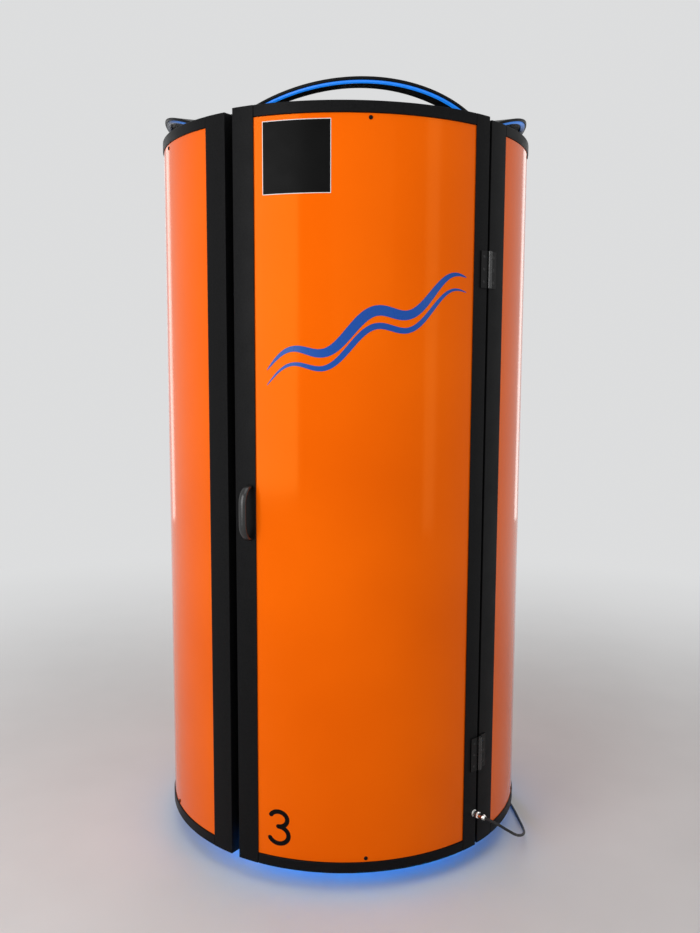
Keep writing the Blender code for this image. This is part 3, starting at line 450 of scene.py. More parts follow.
def hinge_finish():
    """Black leaves that are worn to bare steel on the knuckles round the pins."""
    material, tree, shader = nodes_of("worn_hinge_steel")
    links = tree.links
    low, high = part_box("upper_hinge_pin")
    place = tree.nodes.new("ShaderNodeTexCoord")
    offset = tree.nodes.new("ShaderNodeVectorMath")
    offset.operation = "SUBTRACT"
    offset.inputs[1].default_value = (low + high) / 2
    links.new(place.outputs["Object"], offset.inputs[0])
    plan = tree.nodes.new("ShaderNodeVectorMath")
    plan.operation = "MULTIPLY"
    plan.inputs[1].default_value = (1, 1, 0)
    links.new(offset.outputs["Vector"], plan.inputs[0])
    away = tree.nodes.new("ShaderNodeVectorMath")
    away.operation = "LENGTH"
    links.new(plan.outputs["Vector"], away.inputs[0])
    bare = ranged(tree, away.outputs["Value"], 0.0, 1.0, (KNUCKLE_RADIUS + 4 * FIT, KNUCKLE_RADIUS + FIT))
    worn = ramp(tree, noise(tree, 120.0), (0.055, 0.055, 0.055), (0.075, 0.075, 0.075))
    mix = tree.nodes.new("ShaderNodeMix")
    mix.data_type = "RGBA"
    mix.inputs["A"].default_value = (0.004, 0.004, 0.004, 1)
    links.new(bare, mix.inputs["Factor"])
    links.new(worn, mix.inputs["B"])
    links.new(mix.outputs["Result"], shader.inputs["Base Color"])
    links.new(bare, shader.inputs["Metallic"])
    links.new(ranged(tree, noise(tree, 60.0, 5.0), 0.20, 0.30), shader.inputs["Roughness"])
    shader.inputs["Specular IOR Level"].default_value = 0.15
    return material


ORANGE = orange_gloss()
BLACK = powder_coat()
CROWN_LIGHT = light_strip("crown_light_diffuser", 0.250, 0.68)
SIDE_LIGHT = side_light_strip_painted_shade()
PLINTH_LIGHT = light_strip("plinth_light_diffuser", 0.250, 1.2)
HINGE = hinge_finish()
CLEAR = clear_sheet()
LAMP = lamp_glass()
PLASTIC = surface("black_moulded_plastic", (0.010,) * 3, (0.016,) * 3, (0.20, 0.28), 700.0, 0.00005)
BRIGHT = surface(
    "bright_aluminium_sheet", (0.78, 0.79, 0.80), (0.86, 0.87, 0.88), (0.10, 0.22), 500.0, 0.00003,
    metallic=1.0, stretch=(1, 1, 0.04),
)
STEEL = surface(
    "zinc_plated_steel", (0.46, 0.46, 0.47), (0.60, 0.60, 0.60), (0.22, 0.38), 600.0, 0.00006,
    patch=60.0, metallic=1.0,
)
NICKEL = surface(
    "nickel_plate", (0.62, 0.62, 0.60), (0.72, 0.72, 0.70), (0.12, 0.22), 600.0, 0.00003,
    patch=60.0, metallic=1.0,
)
DARK_STEEL = surface(
    "blackened_steel", (0.014,) * 3, (0.024,) * 3, (0.16, 0.24), 600.0, 0.00003, patch=40.0, metallic=0.5
)
RAIL_WHITE = surface(
    "lamp_rail_paint", (0.60, 0.61, 0.62), (0.68, 0.69, 0.70), (0.30, 0.42), 700.0, 0.00008
)
RUBBER = surface(
    "black_rubber", (0.014,) * 3, (0.024,) * 3, (0.55, 0.75), 800.0, 0.00015, patch=12.0, specular=0.3
)
GREEN = surface(
    "green_button_plastic", (0.018, 0.32, 0.07), (0.022, 0.38, 0.09), (0.18, 0.26), 500.0, 0.00003
)
RED = surface(
    "red_button_plastic", (0.50, 0.009, 0.009), (0.58, 0.012, 0.011), (0.18, 0.26), 500.0, 0.00003
)
VINYL_BLACK = surface(
    "black_vinyl", (0.003,) * 3, (0.005,) * 3, (0.30, 0.40), 300.0, 0.000004, specular=0.05
)
VINYL_PALE = surface(
    "pale_vinyl", (0.66, 0.66, 0.65), (0.74, 0.74, 0.73), (0.30, 0.40), 300.0, 0.000004
)
VINYL_BLUE = surface(
    "blue_vinyl", (0.003, 0.060, 0.32), (0.005, 0.078, 0.38), (0.24, 0.34), 300.0, 0.000004, specular=0.25
)


# Mesh building


def quad_strip(form, rows, closed=False):
    """Faces between neighbouring rows of vertices; a closed row joins its end to its start."""
    for near, far in zip(rows, rows[1:]):
        first = 0 if closed else 1
        for k in range(first, len(near)):
            form.faces.new((near[k - 1], near[k], far[k], far[k - 1]))


def tube(form, rows):
    """Closed rows joined in turn, with a flat face over each end."""
    quad_strip(form, rows, closed=True)
    form.faces.new(rows[0])
    form.faces.new(rows[-1])


def steps_between(start, end, step=FINE_STEP):
    """Even steps from start to end."""
    count = max(2, math.ceil(abs(end - start) / step))
    return [start + (end - start) * k / count for k in range(count + 1)]


def swept(form, profile, start, end):
    """A closed profile of (radius, height) points carried round the cabin's axis between two angles."""
    rows = []
    for angle in steps_between(start, end):
        rows.append([form.verts.new(polar(radius, angle, height)) for radius, height in profile])
    tube(form, rows)


def wall(form, inner, outer, start, end, low, high):
    """A closed curved slab."""
    swept(form, ((outer, low), (outer, high), (inner, high), (inner, low)), start, end)


def ring(form, profile, steps=RING_STEPS, middle=Vector(), axis=UP):
    """A closed profile of (radius, height) points turned about an axis."""
    turn = UP.rotation_difference(axis).to_matrix()
    rows = []
    for k in range(steps):
        angle = 2 * math.pi * k / steps
        way = Vector((math.cos(angle), math.sin(angle), 0))
        rows.append([form.verts.new(middle + turn @ (way * r + Vector((0, 0, h)))) for r, h in profile])
    quad_strip(form, [*rows, rows[0]], closed=True)


def dome(form, profile, steps, middle, axis):
    """A profile of (radius, height) points turned about an axis, with flat faces over both ends."""
    turn = UP.rotation_difference(axis).to_matrix()
    rows = []
    for radius, height in profile:
        row = []
        for k in range(steps):
            angle = 2 * math.pi * k / steps
            way = Vector((radius * math.cos(angle), radius * math.sin(angle), height))
            row.append(form.verts.new(middle + turn @ way))
        rows.append(row)
    tube(form, rows)


def prism(form, outline, low, high):
    """A plan outline raised from low to high."""
    tube(form, [[form.verts.new((x, y, height)) for x, y in outline] for height in (low, high)])


def sweep(form, centres, sides, section):
    """A tube along points; section gives the two half-axes across the path for the way ahead."""
    rows = []
    for k, centre in enumerate(centres):
        ahead = centres[min(k + 1, len(centres) - 1)] - centres[max(k - 1, 0)]
        across, out = section(ahead.normalized())
        turns = [2 * math.pi * j / sides for j in range(sides)]
        rows.append([form.verts.new(centre + across * math.cos(t) + out * math.sin(t)) for t in turns])
    tube(form, rows)


def piece(name, form, material, body, stands_for=(), edge=EDGE):
    """Makes a built form a piece on a body, smooth, with rounded edges."""
    bmesh.ops.recalc_face_normals(form, faces=form.faces)
    mesh = bpy.data.meshes.new(name)
    form.to_mesh(mesh)
    form.free()
    mesh.shade_smooth()
    mesh.set_sharp_from_angle(angle=SHARP)
    mesh.materials.append(material)
    obj = bpy.data.objects.new(name, mesh)
    bpy.context.scene.collection.objects.link(obj)
    if edge:
        rounding = obj.modifiers.new("rounded_edges", "BEVEL")
        rounding.width = edge
        rounding.segments = EDGE_SEGMENTS
        rounding.limit_method = "ANGLE"
        rounding.angle_limit = SHARP
        rounding.harden_normals = True
    if body:
        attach(obj, body)
    if stands_for:
        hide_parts(*stands_for)
    return obj


def curved_piece(node, material, body, edge=EDGE):
    """A finer slab in the place of a curved CAD sheet."""
    form = bmesh.new()
    wall(form, *span(node))
    piece(node + "_fine", form, material, body, (node,), edge)


# Camera, floor and lights


def make_camera():
    """The camera of the photograph."""
    data = bpy.data.cameras.new("photo_camera")
    data.sensor_width = SENSOR
    data.lens = CAMERA_LENS
    camera = bpy.data.objects.new("photo_camera", data)
    turn = Matrix.Rotation(math.radians(-CAMERA_HEADING), 4, "Z")
    tilt = Matrix.Rotation(math.radians(90 - CAMERA_PITCH), 4, "X")
    roll = Matrix.Rotation(math.radians(CAMERA_ROLL), 4, "Z")
    camera.matrix_world = Matrix.Translation(CAMERA_PLACE) @ turn @ tilt @ roll
    bpy.context.scene.collection.objects.link(camera)
    bpy.context.scene.camera = camera


def make_world():
    """Pale to the eye and in reflections, and a soft grey fill for everything else."""
    world = bpy.data.worlds.new("pale_studio")
    bpy.context.scene.world = world
    world.use_nodes = True
    tree = world.node_tree
    links = tree.links
    tree.nodes.clear()
    path = tree.nodes.new("ShaderNodeLightPath")
    seen = tree.nodes.new("ShaderNodeMath")
    seen.operation = "MAXIMUM"
    links.new(path.outputs["Is Camera Ray"], seen.inputs[0])
    links.new(path.outputs["Is Glossy Ray"], seen.inputs[1])
    through = tree.nodes.new("ShaderNodeMath")
    through.operation = "MAXIMUM"
    links.new(seen.outputs[0], through.inputs[0])
    links.new(path.outputs["Is Transmission Ray"], through.inputs[1])
    fill = tree.nodes.new("ShaderNodeBackground")
    fill.inputs["Color"].default_value = (1.0, 1.0, 1.0, 1)
    fill.inputs["Strength"].default_value = AMBIENT
    shown = tree.nodes.new("ShaderNodeBackground")
    shown.inputs["Color"].default_value = (*BACKDROP, 1)
    mix = tree.nodes.new("ShaderNodeMixShader")
    output = tree.nodes.new("ShaderNodeOutputWorld")
    links.new(through.outputs[0], mix.inputs["Fac"])
    links.new(fill.outputs[0], mix.inputs[1])
    links.new(shown.outputs[0], mix.inputs[2])
    links.new(mix.outputs[0], output.inputs["Surface"])


def make_floor():
    """A pale floor that keeps the shadow near the cabin and runs into the backdrop further out."""
    form = bmesh.new()
    bmesh.ops.create_circle(form, cap_ends=True, segments=FLOOR_SIDES, radius=FLOOR_SIZE)
    mesh = bpy.data.meshes.new("studio_floor")
    form.to_mesh(mesh)
    form.free()
    floor = bpy.data.objects.new("studio_floor", mesh)
    bpy.context.scene.collection.objects.link(floor)
    material, tree, shader = nodes_of("pale_floor")
    links = tree.links
    links.new(ramp(tree, noise(tree, 3.0), (0.68,) * 3, (0.71,) * 3), shader.inputs["Base Color"])
    shader.inputs["Roughness"].default_value = 0.55
    shader.inputs["Specular IOR Level"].default_value = 0.2
    place = tree.nodes.new("ShaderNodeTexCoord")
    length = tree.nodes.new("ShaderNodeVectorMath")
    length.operation = "LENGTH"
    links.new(place.outputs["Object"], length.inputs[0])
    far = tree.nodes.new("ShaderNodeMapRange")
    far.interpolation_type = "SMOOTHSTEP"
    far.inputs["From Min"].default_value = FLOOR_NEAR
    far.inputs["From Max"].default_value = FLOOR_FAR
    links.new(length.outputs["Value"], far.inputs["Value"])
    glow = tree.nodes.new("ShaderNodeEmission")
    glow.inputs["Color"].default_value = (*BACKDROP, 1)
    mix = tree.nodes.new("ShaderNodeMixShader")
    links.new(far.outputs["Result"], mix.inputs["Fac"])
    links.new(shader.outputs[0], mix.inputs[1])
    links.new(glow.outputs[0], mix.inputs[2])
    links.new(mix.outputs[0], tree.nodes["Material Output"].inputs["Surface"])
    floor.data.materials.append(material)


def make_light(name, angle, distance, height, width, tall, power):
    """A soft box at an angle round the cabin, turned to its axis."""
    data = bpy.data.lights.new(name, "AREA")
    data.shape = "RECTANGLE"
    data.size = width
    data.size_y = tall
    data.energy = power
    light = bpy.data.objects.new(name, data)
    light.location = polar(distance, angle, height)
    way = Vector((0, 0, LIGHT_AIM)) - light.location
    light.rotation_euler = way.to_track_quat("-Z", "Y").to_euler()
    bpy.context.scene.collection.objects.link(light)


def make_lights():
    """Soft boxes round the cabin and above it."""
    make_light("key_box", -46, 3.4, 1.8, 1.9, 2.3, 54)
    make_light("front_box", 4, 4.8, 2.6, 3.0, 2.2, 9)
    make_light("right_strip", 44, 3.6, 1.7, 0.5, 2.6, 6)
    make_light("left_rim", -143, 3.4, 1.6, 0.5, 2.4, 5)
    make_light("right_rim", 137, 3.4, 1.6, 0.5, 2.4, 5)
    make_light("top_box", -10, 1.6, 4.2, 2.6, 2.6, 30)
    make_light("rear_box", 178, 4.4, 2.2, 3.0, 2.6, 34)


def make_underglow():
    """Small blue lamps before the plinth's diffuser, which carry its glow to the floor."""
    reach = span("plinth_light_strip")
    for k in range(UNDERGLOW_LAMPS):
        angle = 360 * k / UNDERGLOW_LAMPS
        data = bpy.data.lights.new("underglow", "AREA")
        data.shape = "RECTANGLE"
        data.size = 2 * math.pi * reach.outer / UNDERGLOW_LAMPS
        data.size_y = reach.high - reach.low
        data.color = UNDERGLOW_COLOUR
        data.energy = UNDERGLOW_POWER
        light = bpy.data.objects.new("underglow", data)
        light.location = polar(reach.outer + 4 * FIT, angle, (reach.low + reach.high) / 2)
        light.rotation_euler = polar(1, angle).to_track_quat("-Z", "Y").to_euler()
        bpy.context.scene.collection.objects.link(light)


# Pieces


def smooth_line(points, steps):
    """Points on a smooth curve that passes through each given point."""
    chords = [(b - a).length for a, b in zip(points, points[1:])]
    slopes = [(b - a) / chord for a, b, chord in zip(points, points[1:], chords)]
    ways = [slopes[0]]
    for before, after, chord, next_chord in zip(slopes, slopes[1:], chords, chords[1:]):
        ways.append((before * next_chord + after * chord) / (chord + next_chord))
    ways.append(slopes[-1])
    line = []
    for a, b, leave, arrive, chord in zip(points, points[1:], ways, ways[1:], chords):
        for k in range(steps):
            t = k / steps
            blend = 3 * t**2 - 2 * t**3
            bulge = leave * (t**3 - 2 * t**2 + t) + arrive * (t**3 - t**2)
            line.append(a * (1 - blend) + b * blend + bulge * chord)
    return [*line, points[-1]]


def make_cable():
    """The door's lead, from the connector on its hinge stile to the gland in the plinth."""
    face = span("door_hinge_stile").outer
    mouth = (CONNECTOR_ANGLE, face + CONNECTOR_LENGTH + 2 * FIT, CONNECTOR_Z)
    ends = []
    for angle, radius, height in (mouth, BASE_MOUTH):
        ends.append((polar(radius, angle, height), polar(radius + CABLE_STRAIGHT, angle, height)))
    route = [polar(face + reach, CONNECTOR_ANGLE + angle, height) for angle, reach, height in CABLE_ROUTE]
    path = smooth_line([*ends[0], *route, *reversed(ends[1])], CABLE_STEPS)
    form = bmesh.new()
    side = UP

    def section(ahead):
        nonlocal side
        side = (side - ahead * side.dot(ahead)).normalized()
        return side * CABLE_RADIUS, ahead.cross(side) * CABLE_RADIUS

    sweep(form, path, CABLE_SIDES, section)
    cable = piece("door_lead", form, RUBBER, None, ("door_cable",), edge=0)
    angle, reach, height = CABLE_FREE_FROM
    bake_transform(cable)


def make_connector():
    """The door's plug connector: a flange, a ridged coupling ring, a slim body and a clamping nut."""
    way = polar(1, CONNECTOR_ANGLE)
    foot = polar(span("door_hinge_stile").outer + FIT, CONNECTOR_ANGLE, CONNECTOR_Z)
    form = bmesh.new()
    for profile in (CONNECTOR_FLANGE, CONNECTOR_BODY, CONNECTOR_NUT):
        dome(form, profile, CONNECTOR_SIDES, foot, way)
    turn = UP.rotation_difference(way).to_matrix()
    rows = []
    for radius, rise in CONNECTOR_RING:
        row = []
        for k in range(4 * CONNECTOR_RIDGES):
            angle = 2 * math.pi * k / (4 * CONNECTOR_RIDGES)
            reach = radius if k % 4 < 2 else radius - CONNECTOR_GROOVE
            point = Vector((reach * math.cos(angle), reach * math.sin(angle), rise))
            row.append(form.verts.new(foot + turn @ point))
        rows.append(row)
    tube(form, rows)
    piece("door_connector", form, NICKEL, "door", ("door_gland",), edge=0)


def make_skins():
    """Panels, shields, bands and rails, each a finer slab in its CAD node's place."""
    for side, body in SIDES:
        curved_piece(side + "_panel", ORANGE, body)
    for side, body in SIDES:
        curved_piece(side + "_lamp_shield", CLEAR, body, SHIELD_EDGE)
    for node in ("base_skirt", "roof_ring"):
        curved_piece(node, BLACK, "cabinet", SOFT_EDGE)
    curved_piece("door_bottom_rail", BLACK, "door", SOFT_EDGE)
    reach = span("door_top_rail")
    top = reach.high - BROW_HEIGHT
    step = reach.outer - BROW_DEPTH
    profile = [
        (reach.outer, reach.low), (reach.outer, reach.high), (step, reach.high),
        (step, top), (reach.inner, top), (reach.inner, reach.low),
    ]
    form = bmesh.new()
    swept(form, profile, reach.start, reach.end)
    piece("door_top_rail_fine", form, BLACK, "door", ("door_top_rail",), SOFT_EDGE)


def make_rear_cover():
    """The back's curved cover between the side panels, with its two banks of vents cut through."""
    node = "rear_cover"
    reach = span(node)
    heights = sorted({round(v.co.z, 4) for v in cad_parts[node].data.vertices})
    slots = zip(heights[1:-1:2], heights[2:-1:2])
    inner_angles = [
        math.degrees(math.atan2(v.co.x, -v.co.y)) % 360
        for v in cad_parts[node].data.vertices
        if reach.low + EDGE < v.co.z < reach.high - EDGE
    ]
    left, right = min(inner_angles), max(inner_angles)
    form = bmesh.new()
    wall(form, reach.inner, reach.outer, reach.start, left, reach.low, reach.high)
    wall(form, reach.inner, reach.outer, right, reach.end, reach.low, reach.high)
    level = reach.low
    for low, high in [*slots, (reach.high, reach.high)]:
        wall(form, reach.inner, reach.outer, left, right, level, low)
        level = high
    bmesh.ops.remove_doubles(form, verts=form.verts, dist=SEAM_WELD)
    piece("rear_cover_fine", form, BLACK, "cabinet", (node,), edge=0)


def channel(node, body, open_to_right):
    """A folded upright: outer face, side, inner flange and end caps, open towards its panel."""
    reach = span(node)
    top = reach.high - BROW_HEIGHT if body == "door" else reach.high
    edge, back = (reach.start, reach.end) if open_to_right else (reach.end, reach.start)
    fold = math.copysign(math.degrees(SHEET / reach.inner), back - edge)
    outside = [polar(reach.outer, a) for a in steps_between(back, edge)]
    outside += [polar(reach.inner, a) for a in steps_between(edge, back)]
    hollow = [polar(reach.inner + SHEET, a) for a in steps_between(back, edge + fold)]
    hollow += [polar(reach.outer - SHEET, a) for a in steps_between(edge + fold, back)]
    form = bmesh.new()
    prism(form, [(p.x, p.y) for p in outside + hollow], reach.low, top)
    for low, high in ((reach.low, reach.low + SHEET), (top - SHEET, top)):
        wall(form, reach.inner + SHEET, reach.outer - SHEET, *sorted((edge + fold, back)), low, high)
    if top < reach.high:
        wall(form, reach.outer - BROW_DEPTH, reach.outer, reach.start, reach.end, top - SHEET, reach.high)
    piece(node + "_fine", form, BLACK, body, (node,), CHANNEL_EDGE)


def make_uprights():
    """The posts beside the doorway and the stiles of the door."""
    channel("left_post", "cabinet", open_to_right=False)
    channel("right_post", "cabinet", open_to_right=True)
    channel("door_latch_stile", "door", open_to_right=True)
    channel("door_hinge_stile", "door", open_to_right=False)


def make_plinth():
    """The plinth's ring, and the rounded diffuser of the light strip round it."""
    reach = span("plinth")
    form = bmesh.new()
    profile = [
        (reach.inner, reach.low), (reach.outer, reach.low),
        (reach.outer, reach.high), (reach.inner, reach.high),
    ]
    ring(form, profile)
    piece("plinth_fine", form, BLACK, "cabinet", ("plinth",))
    reach = span("plinth_light_strip")
    middle = (reach.low + reach.high) / 2
    half = (reach.high - reach.low) / 2
    depth = reach.outer - reach.inner
    profile = [(reach.inner, reach.high), (reach.inner, reach.low)]
    for k in range(PLINTH_LIGHT_BENDS + 1):
        turn = math.radians(180 * k / PLINTH_LIGHT_BENDS - 90)
        share = PLINTH_LIGHT_FLAT + (1 - PLINTH_LIGHT_FLAT) * math.cos(turn)
        profile.append((reach.inner + depth * share, middle + half * math.sin(turn)))
    form = bmesh.new()
    ring(form, profile)
    replaced = ("plinth_light_strip",)
    piece("plinth_light_diffuser", form, PLINTH_LIGHT, "cabinet", replaced, edge=0)


def make_mat():
    """A round rubber mat with fine concentric ribs."""
    reach = span("floor_mat")
    groove = reach.high - MAT_RIB
    profile = [(MAT_HOLE, reach.low), (reach.outer, reach.low), (reach.outer, groove)]
    pitch = (reach.outer - MAT_HOLE) / MAT_RIBS
    for k in range(MAT_RIBS):
        edge = reach.outer - k * pitch
        for flank, height in zip(MAT_FLANKS, (reach.high, reach.high, groove, groove)):
            profile.append((edge - flank * pitch, height))
    form = bmesh.new()
    ring(form, profile, MAT_STEPS)
    dome(form, [(MAT_CORE, reach.low), (MAT_CORE, reach.high)], MAT_CORE_SIDES, Vector(), UP)
    piece("floor_mat_ribbed", form, RUBBER, "cabinet", ("floor_mat",), edge=0)


def crown_wave(angle):
    """How high the crown's wave stands at an angle, from 0 to 1."""
    for centre, half in CROWN_ARCHES.values():
        away = abs((angle - centre + 180) % 360 - 180)
        if away < half:
            return math.cos(math.radians(90 * away / half))
    return 0.0


def crown_edge(angle):
    """The radius of the crown's outer edge at an angle."""
    return CROWN_FOOT + (CROWN_TIP - CROWN_FOOT) * crown_wave(angle)


def make_crown():
    """The waved ring, with a light strip under the edge of each arch."""
    low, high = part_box("crown_ring")
    inner = CROWN_TIP - CROWN_WIDTH
    rows = []
    form = bmesh.new()
    for angle in range(360):
        under = low.z + CROWN_RISE * crown_wave(angle)
        top = min(under + CROWN_SHEET, high.z)
        edge = crown_edge(angle)
        corners = ((edge, under), (edge, top), (inner, top), (inner, under))
        rows.append([form.verts.new(polar(r, angle, z)) for r, z in corners])
    quad_strip(form, [*rows, rows[0]], closed=True)
    piece("crown_ring_fine", form, BLACK, "cabinet", ("crown_ring",), CROWN_EDGE)
    for side in CROWN_ARCHES:
        node = "crown_light_" + side
        reach = span(node)
        form = bmesh.new()
        rows = []
        for angle in steps_between(reach.start, reach.end, CROWN_LIGHT_STEP):
            top = low.z + CROWN_RISE * crown_wave(angle) - FIT
            bottom = top - CROWN_LIGHT_HEIGHT
            round_low = bottom + CROWN_LIGHT_HEIGHT * CROWN_LIGHT_ROUND
            edge = crown_edge(angle) - CROWN_LIGHT_INSET
            back = edge - CROWN_LIGHT_WIDTH
            inset = CROWN_LIGHT_WIDTH * CROWN_LIGHT_ROUND
            corners = (
                (edge, round_low), (edge, top), (back, top),
                (back, round_low), (back + inset, bottom), (edge - inset, bottom),
            )
            rows.append([form.verts.new(polar(r, angle, z)) for r, z in corners])
        tube(form, rows)
        light = SIDE_LIGHT if side in ("left", "right") else CROWN_LIGHT
        piece(node + "_diffuser", form, light, "cabinet", (node,), edge=0)


def lamp_angles(start, end):
    """The angles of a bank's tubes between its ends."""
    room = end - start - 2 * math.degrees(LAMP_RADIUS / LAMP_CIRCLE)
    count = math.floor(room / LAMP_PITCH) + 1
    first = (start + end - (count - 1) * LAMP_PITCH) / 2
    return [first + k * LAMP_PITCH for k in range(count)]


def make_lamps():
    """Each bank's tubes, metal end caps, sockets and holder rails."""
    cap_end = LAMP_CAP + LAMP_END_ROUND
    for side, body in SIDES:
        node = side + "_lamp_bank"
        reach = span(node)
        low_rail = reach.low + LAMP_RAIL_HEIGHT
        high_rail = reach.high - LAMP_RAIL_HEIGHT
        rails = bmesh.new()
        wall(rails, reach.inner, reach.outer, reach.start, reach.end, reach.low, low_rail)
        wall(rails, reach.inner, reach.outer, reach.start, reach.end, high_rail, reach.high)
        tubes = bmesh.new()
        caps = bmesh.new()
        sockets = bmesh.new()
        for angle in lamp_angles(reach.start, reach.end):
            for rail, way in ((low_rail, 1), (high_rail, -1)):
                foot = polar(LAMP_CIRCLE, angle, rail)
                axis = UP * way
                r = LAMP_RADIUS
                profile = [(r, FIT), (r, LAMP_SOCKET - LAMP_END_ROUND), (r * SOCKET_RIM, LAMP_SOCKET)]
                dome(sockets, profile, LAMP_SIDES, foot, axis)
                profile = [
                    (r * CAP_WIDTH, LAMP_SOCKET + LAMP_END_GAP), (r * CAP_WIDTH, LAMP_CAP),
                    (r * CAP_RIM, cap_end),
                ]
                dome(caps, profile, LAMP_SIDES, foot, axis)
            ends = (low_rail + cap_end + LAMP_END_GAP, high_rail - cap_end - LAMP_END_GAP)
            length = ends[1] - ends[0]
            foot = polar(LAMP_CIRCLE, angle, ends[0])
            r = LAMP_RADIUS * TUBE_WIDTH
            profile = [(r * TUBE_RIM, 0), (r, TUBE_ROUND), (r, length - TUBE_ROUND), (r * TUBE_RIM, length)]
            dome(tubes, profile, LAMP_SIDES, foot, UP)
        piece(side + "_lamp_rails", rails, RAIL_WHITE, body, (node,))
        piece(side + "_lamp_tubes", tubes, LAMP, body, (node,), edge=0)
        piece(side + "_lamp_caps", caps, BRIGHT, body, (node,), edge=0)
        piece(side + "_lamp_sockets", sockets, PLASTIC, body, (node,), edge=0)


def make_handle():
    """A bowed pull with an oval bar and a slim foot at each end."""
    seat = span("door_latch_stile").outer + FIT
    out = seat + HANDLE_REACH - HANDLE_THICKNESS / 2
    half = HANDLE_SPACING / 2
    side = [(seat, half)]
    for k in range(HANDLE_STEPS + 1):
        turn = math.pi / 2 * k / HANDLE_STEPS
        side.append((out - HANDLE_BEND * (1 - math.sin(turn)), half - HANDLE_ARCH * (1 - math.cos(turn))))
    line = [(reach, HANDLE_Z - height) for reach, height in side]
    line += [(reach, HANDLE_Z + height) for reach, height in reversed(side)]
    across = polar(HANDLE_WIDTH / 2, HANDLE_ANGLE + 90)
    form = bmesh.new()

    def section(ahead):
        return across, ahead.cross(across).normalized() * (HANDLE_THICKNESS / 2)

    centres = [polar(reach, HANDLE_ANGLE, height) for reach, height in line]
    sweep(form, centres, HANDLE_SIDES, section)
    piece("door_handle_bow", form, PLASTIC, "door", ("door_handle",), HANDLE_EDGE)


def screw(form, place, way):
    """A low button head with a hexagon socket."""
    for shares, sides in ((SCREW_HEAD, SCREW_SIDES), (SCREW_SOCKET, 6)):
        dome(form, [(SCREW_RADIUS * r, SCREW_HEIGHT * h) for r, h in shares], sides, place, way)


def make_screws():
    """Screws in the panels' edges and in the hinges' leaves."""
    form = bmesh.new()
    reach = span("door_panel")
    middle = (reach.start + reach.end) / 2
    for height in (reach.low + SCREW_EDGE, reach.high - SCREW_EDGE):
        screw(form, polar(reach.outer, middle, height), polar(1, middle))
    piece("door_panel_screws", form, BLACK, "door", edge=0)
    form = bmesh.new()
    for side, node in ((1, "right_panel"), (-1, "left_panel")):
        reach = span(node)
        for away in SIDE_SCREW_ANGLES:
            for height in (reach.low + SCREW_EDGE, reach.high - SCREW_EDGE):
                screw(form, polar(reach.outer, side * away, height), polar(1, side * away))
    piece("side_panel_screws", form, BLACK, "cabinet", edge=0)
    for node, body in HINGE_LEAVES:
        form = bmesh.new()
        low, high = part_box(node)
        reach = span(node)
        if body == "cabinet":
            angle = reach.end - HINGE_SCREW_INSET
            face = span("right_post").outer
        else:
            angle = reach.start + HINGE_SCREW_INSET
            face = span("door_hinge_stile").outer
        for share in HINGE_SCREW_SHARES:
            place = polar(face + FIT + SHEET, angle, low.z + share * (high.z - low.z))
            dome(form, HINGE_SCREW, HINGE_SCREW_SIDES, place, polar(1, angle))
        piece(node + "_screws", form, DARK_STEEL, body, edge=0)


def vinyl(name, strokes, material):
    """Thin film on the door's panel, from rows of (angle, height) edge points."""
    face = span("door_panel").outer + FIT / 3
    form = bmesh.new()
    for stroke in strokes:
        rows = []
        for first, second in stroke:
            corners = ((face, *first), (face + VINYL, *first), (face + VINYL, *second), (face, *second))
            rows.append([form.verts.new(polar(r, a, z)) for r, a, z in corners])
        tube(form, rows)
    piece(name, form, material, "door", edge=0)


def stroke_edges(points, width):
    """Both edges of a stroke along flat (across, up) points; width is a function of the share."""
    rows = []
    last = len(points) - 1
    for k, (u, v) in enumerate(points):
        before = points[max(k - 1, 0)]
        after = points[min(k + 1, last)]
        length = math.hypot(after[0] - before[0], after[1] - before[1])
        side = (-(after[1] - before[1]) / length, (after[0] - before[0]) / length)
        half = width(k / last) / 2
        rows.append(((u + side[0] * half, v + side[1] * half), (u - side[0] * half, v - side[1] * half)))
    return rows


def on_door(rows, angle, height):
    """Flat edge points as angles and heights round the door's panel."""
    face = span("door_panel").outer
    return [[(angle + math.degrees(u / face), height + v) for u, v in row] for row in rows]


def rounded_width(share):
    """Stroke width that closes in a half circle at both ends."""
    away = min(share, 1 - share) / NUMERAL_CAP
    return NUMERAL_STROKE * math.sqrt(max(1 - (1 - min(away, 1.0)) ** 2, 0.01))


def make_numeral():
    """A plain figure made of two bowls."""
    half = NUMERAL_STROKE / 2
    waist = NUMERAL_HEIGHT * NUMERAL_WAIST
    upper = (NUMERAL_HEIGHT - half - waist) / 2
    lower = (waist - half) / 2
    bowls = (
        (upper, waist + upper, NUMERAL_TIP, -NUMERAL_MEET),
        (lower, half + lower, NUMERAL_MEET, -NUMERAL_TIP),
    )
    strokes = []
    for radius, middle, start, end in bowls:
        turns = [math.radians(a) for a in steps_between(start, end, NUMERAL_STEP)]
        points = [(NUMERAL_SPREAD * radius * math.cos(t), middle + radius * math.sin(t)) for t in turns]
        strokes.append(on_door(stroke_edges(points, rounded_width), NUMERAL_ANGLE, NUMERAL_FOOT))
    vinyl("door_numeral", strokes, VINYL_BLACK)


def make_plate():
    """A bare black sign plate with a thin pale border."""
    low, high = PLATE_HEIGHTS
    start, end = PLATE_ANGLES
    face = span("door_panel").outer
    form = bmesh.new()
    wall(form, face + FIT / 3, face + VINYL, start, end, low, high)
    piece("sign_plate_border", form, VINYL_PALE, "door", edge=0)
    inset = math.degrees(PLATE_BORDER / face)
    form = bmesh.new()
    heights = (low + PLATE_BORDER, high - PLATE_BORDER)
    wall(form, face + FIT / 3, face + 2 * VINYL, start + inset, end - inset, *heights)
    piece("sign_plate", form, VINYL_BLACK, "door", edge=0)


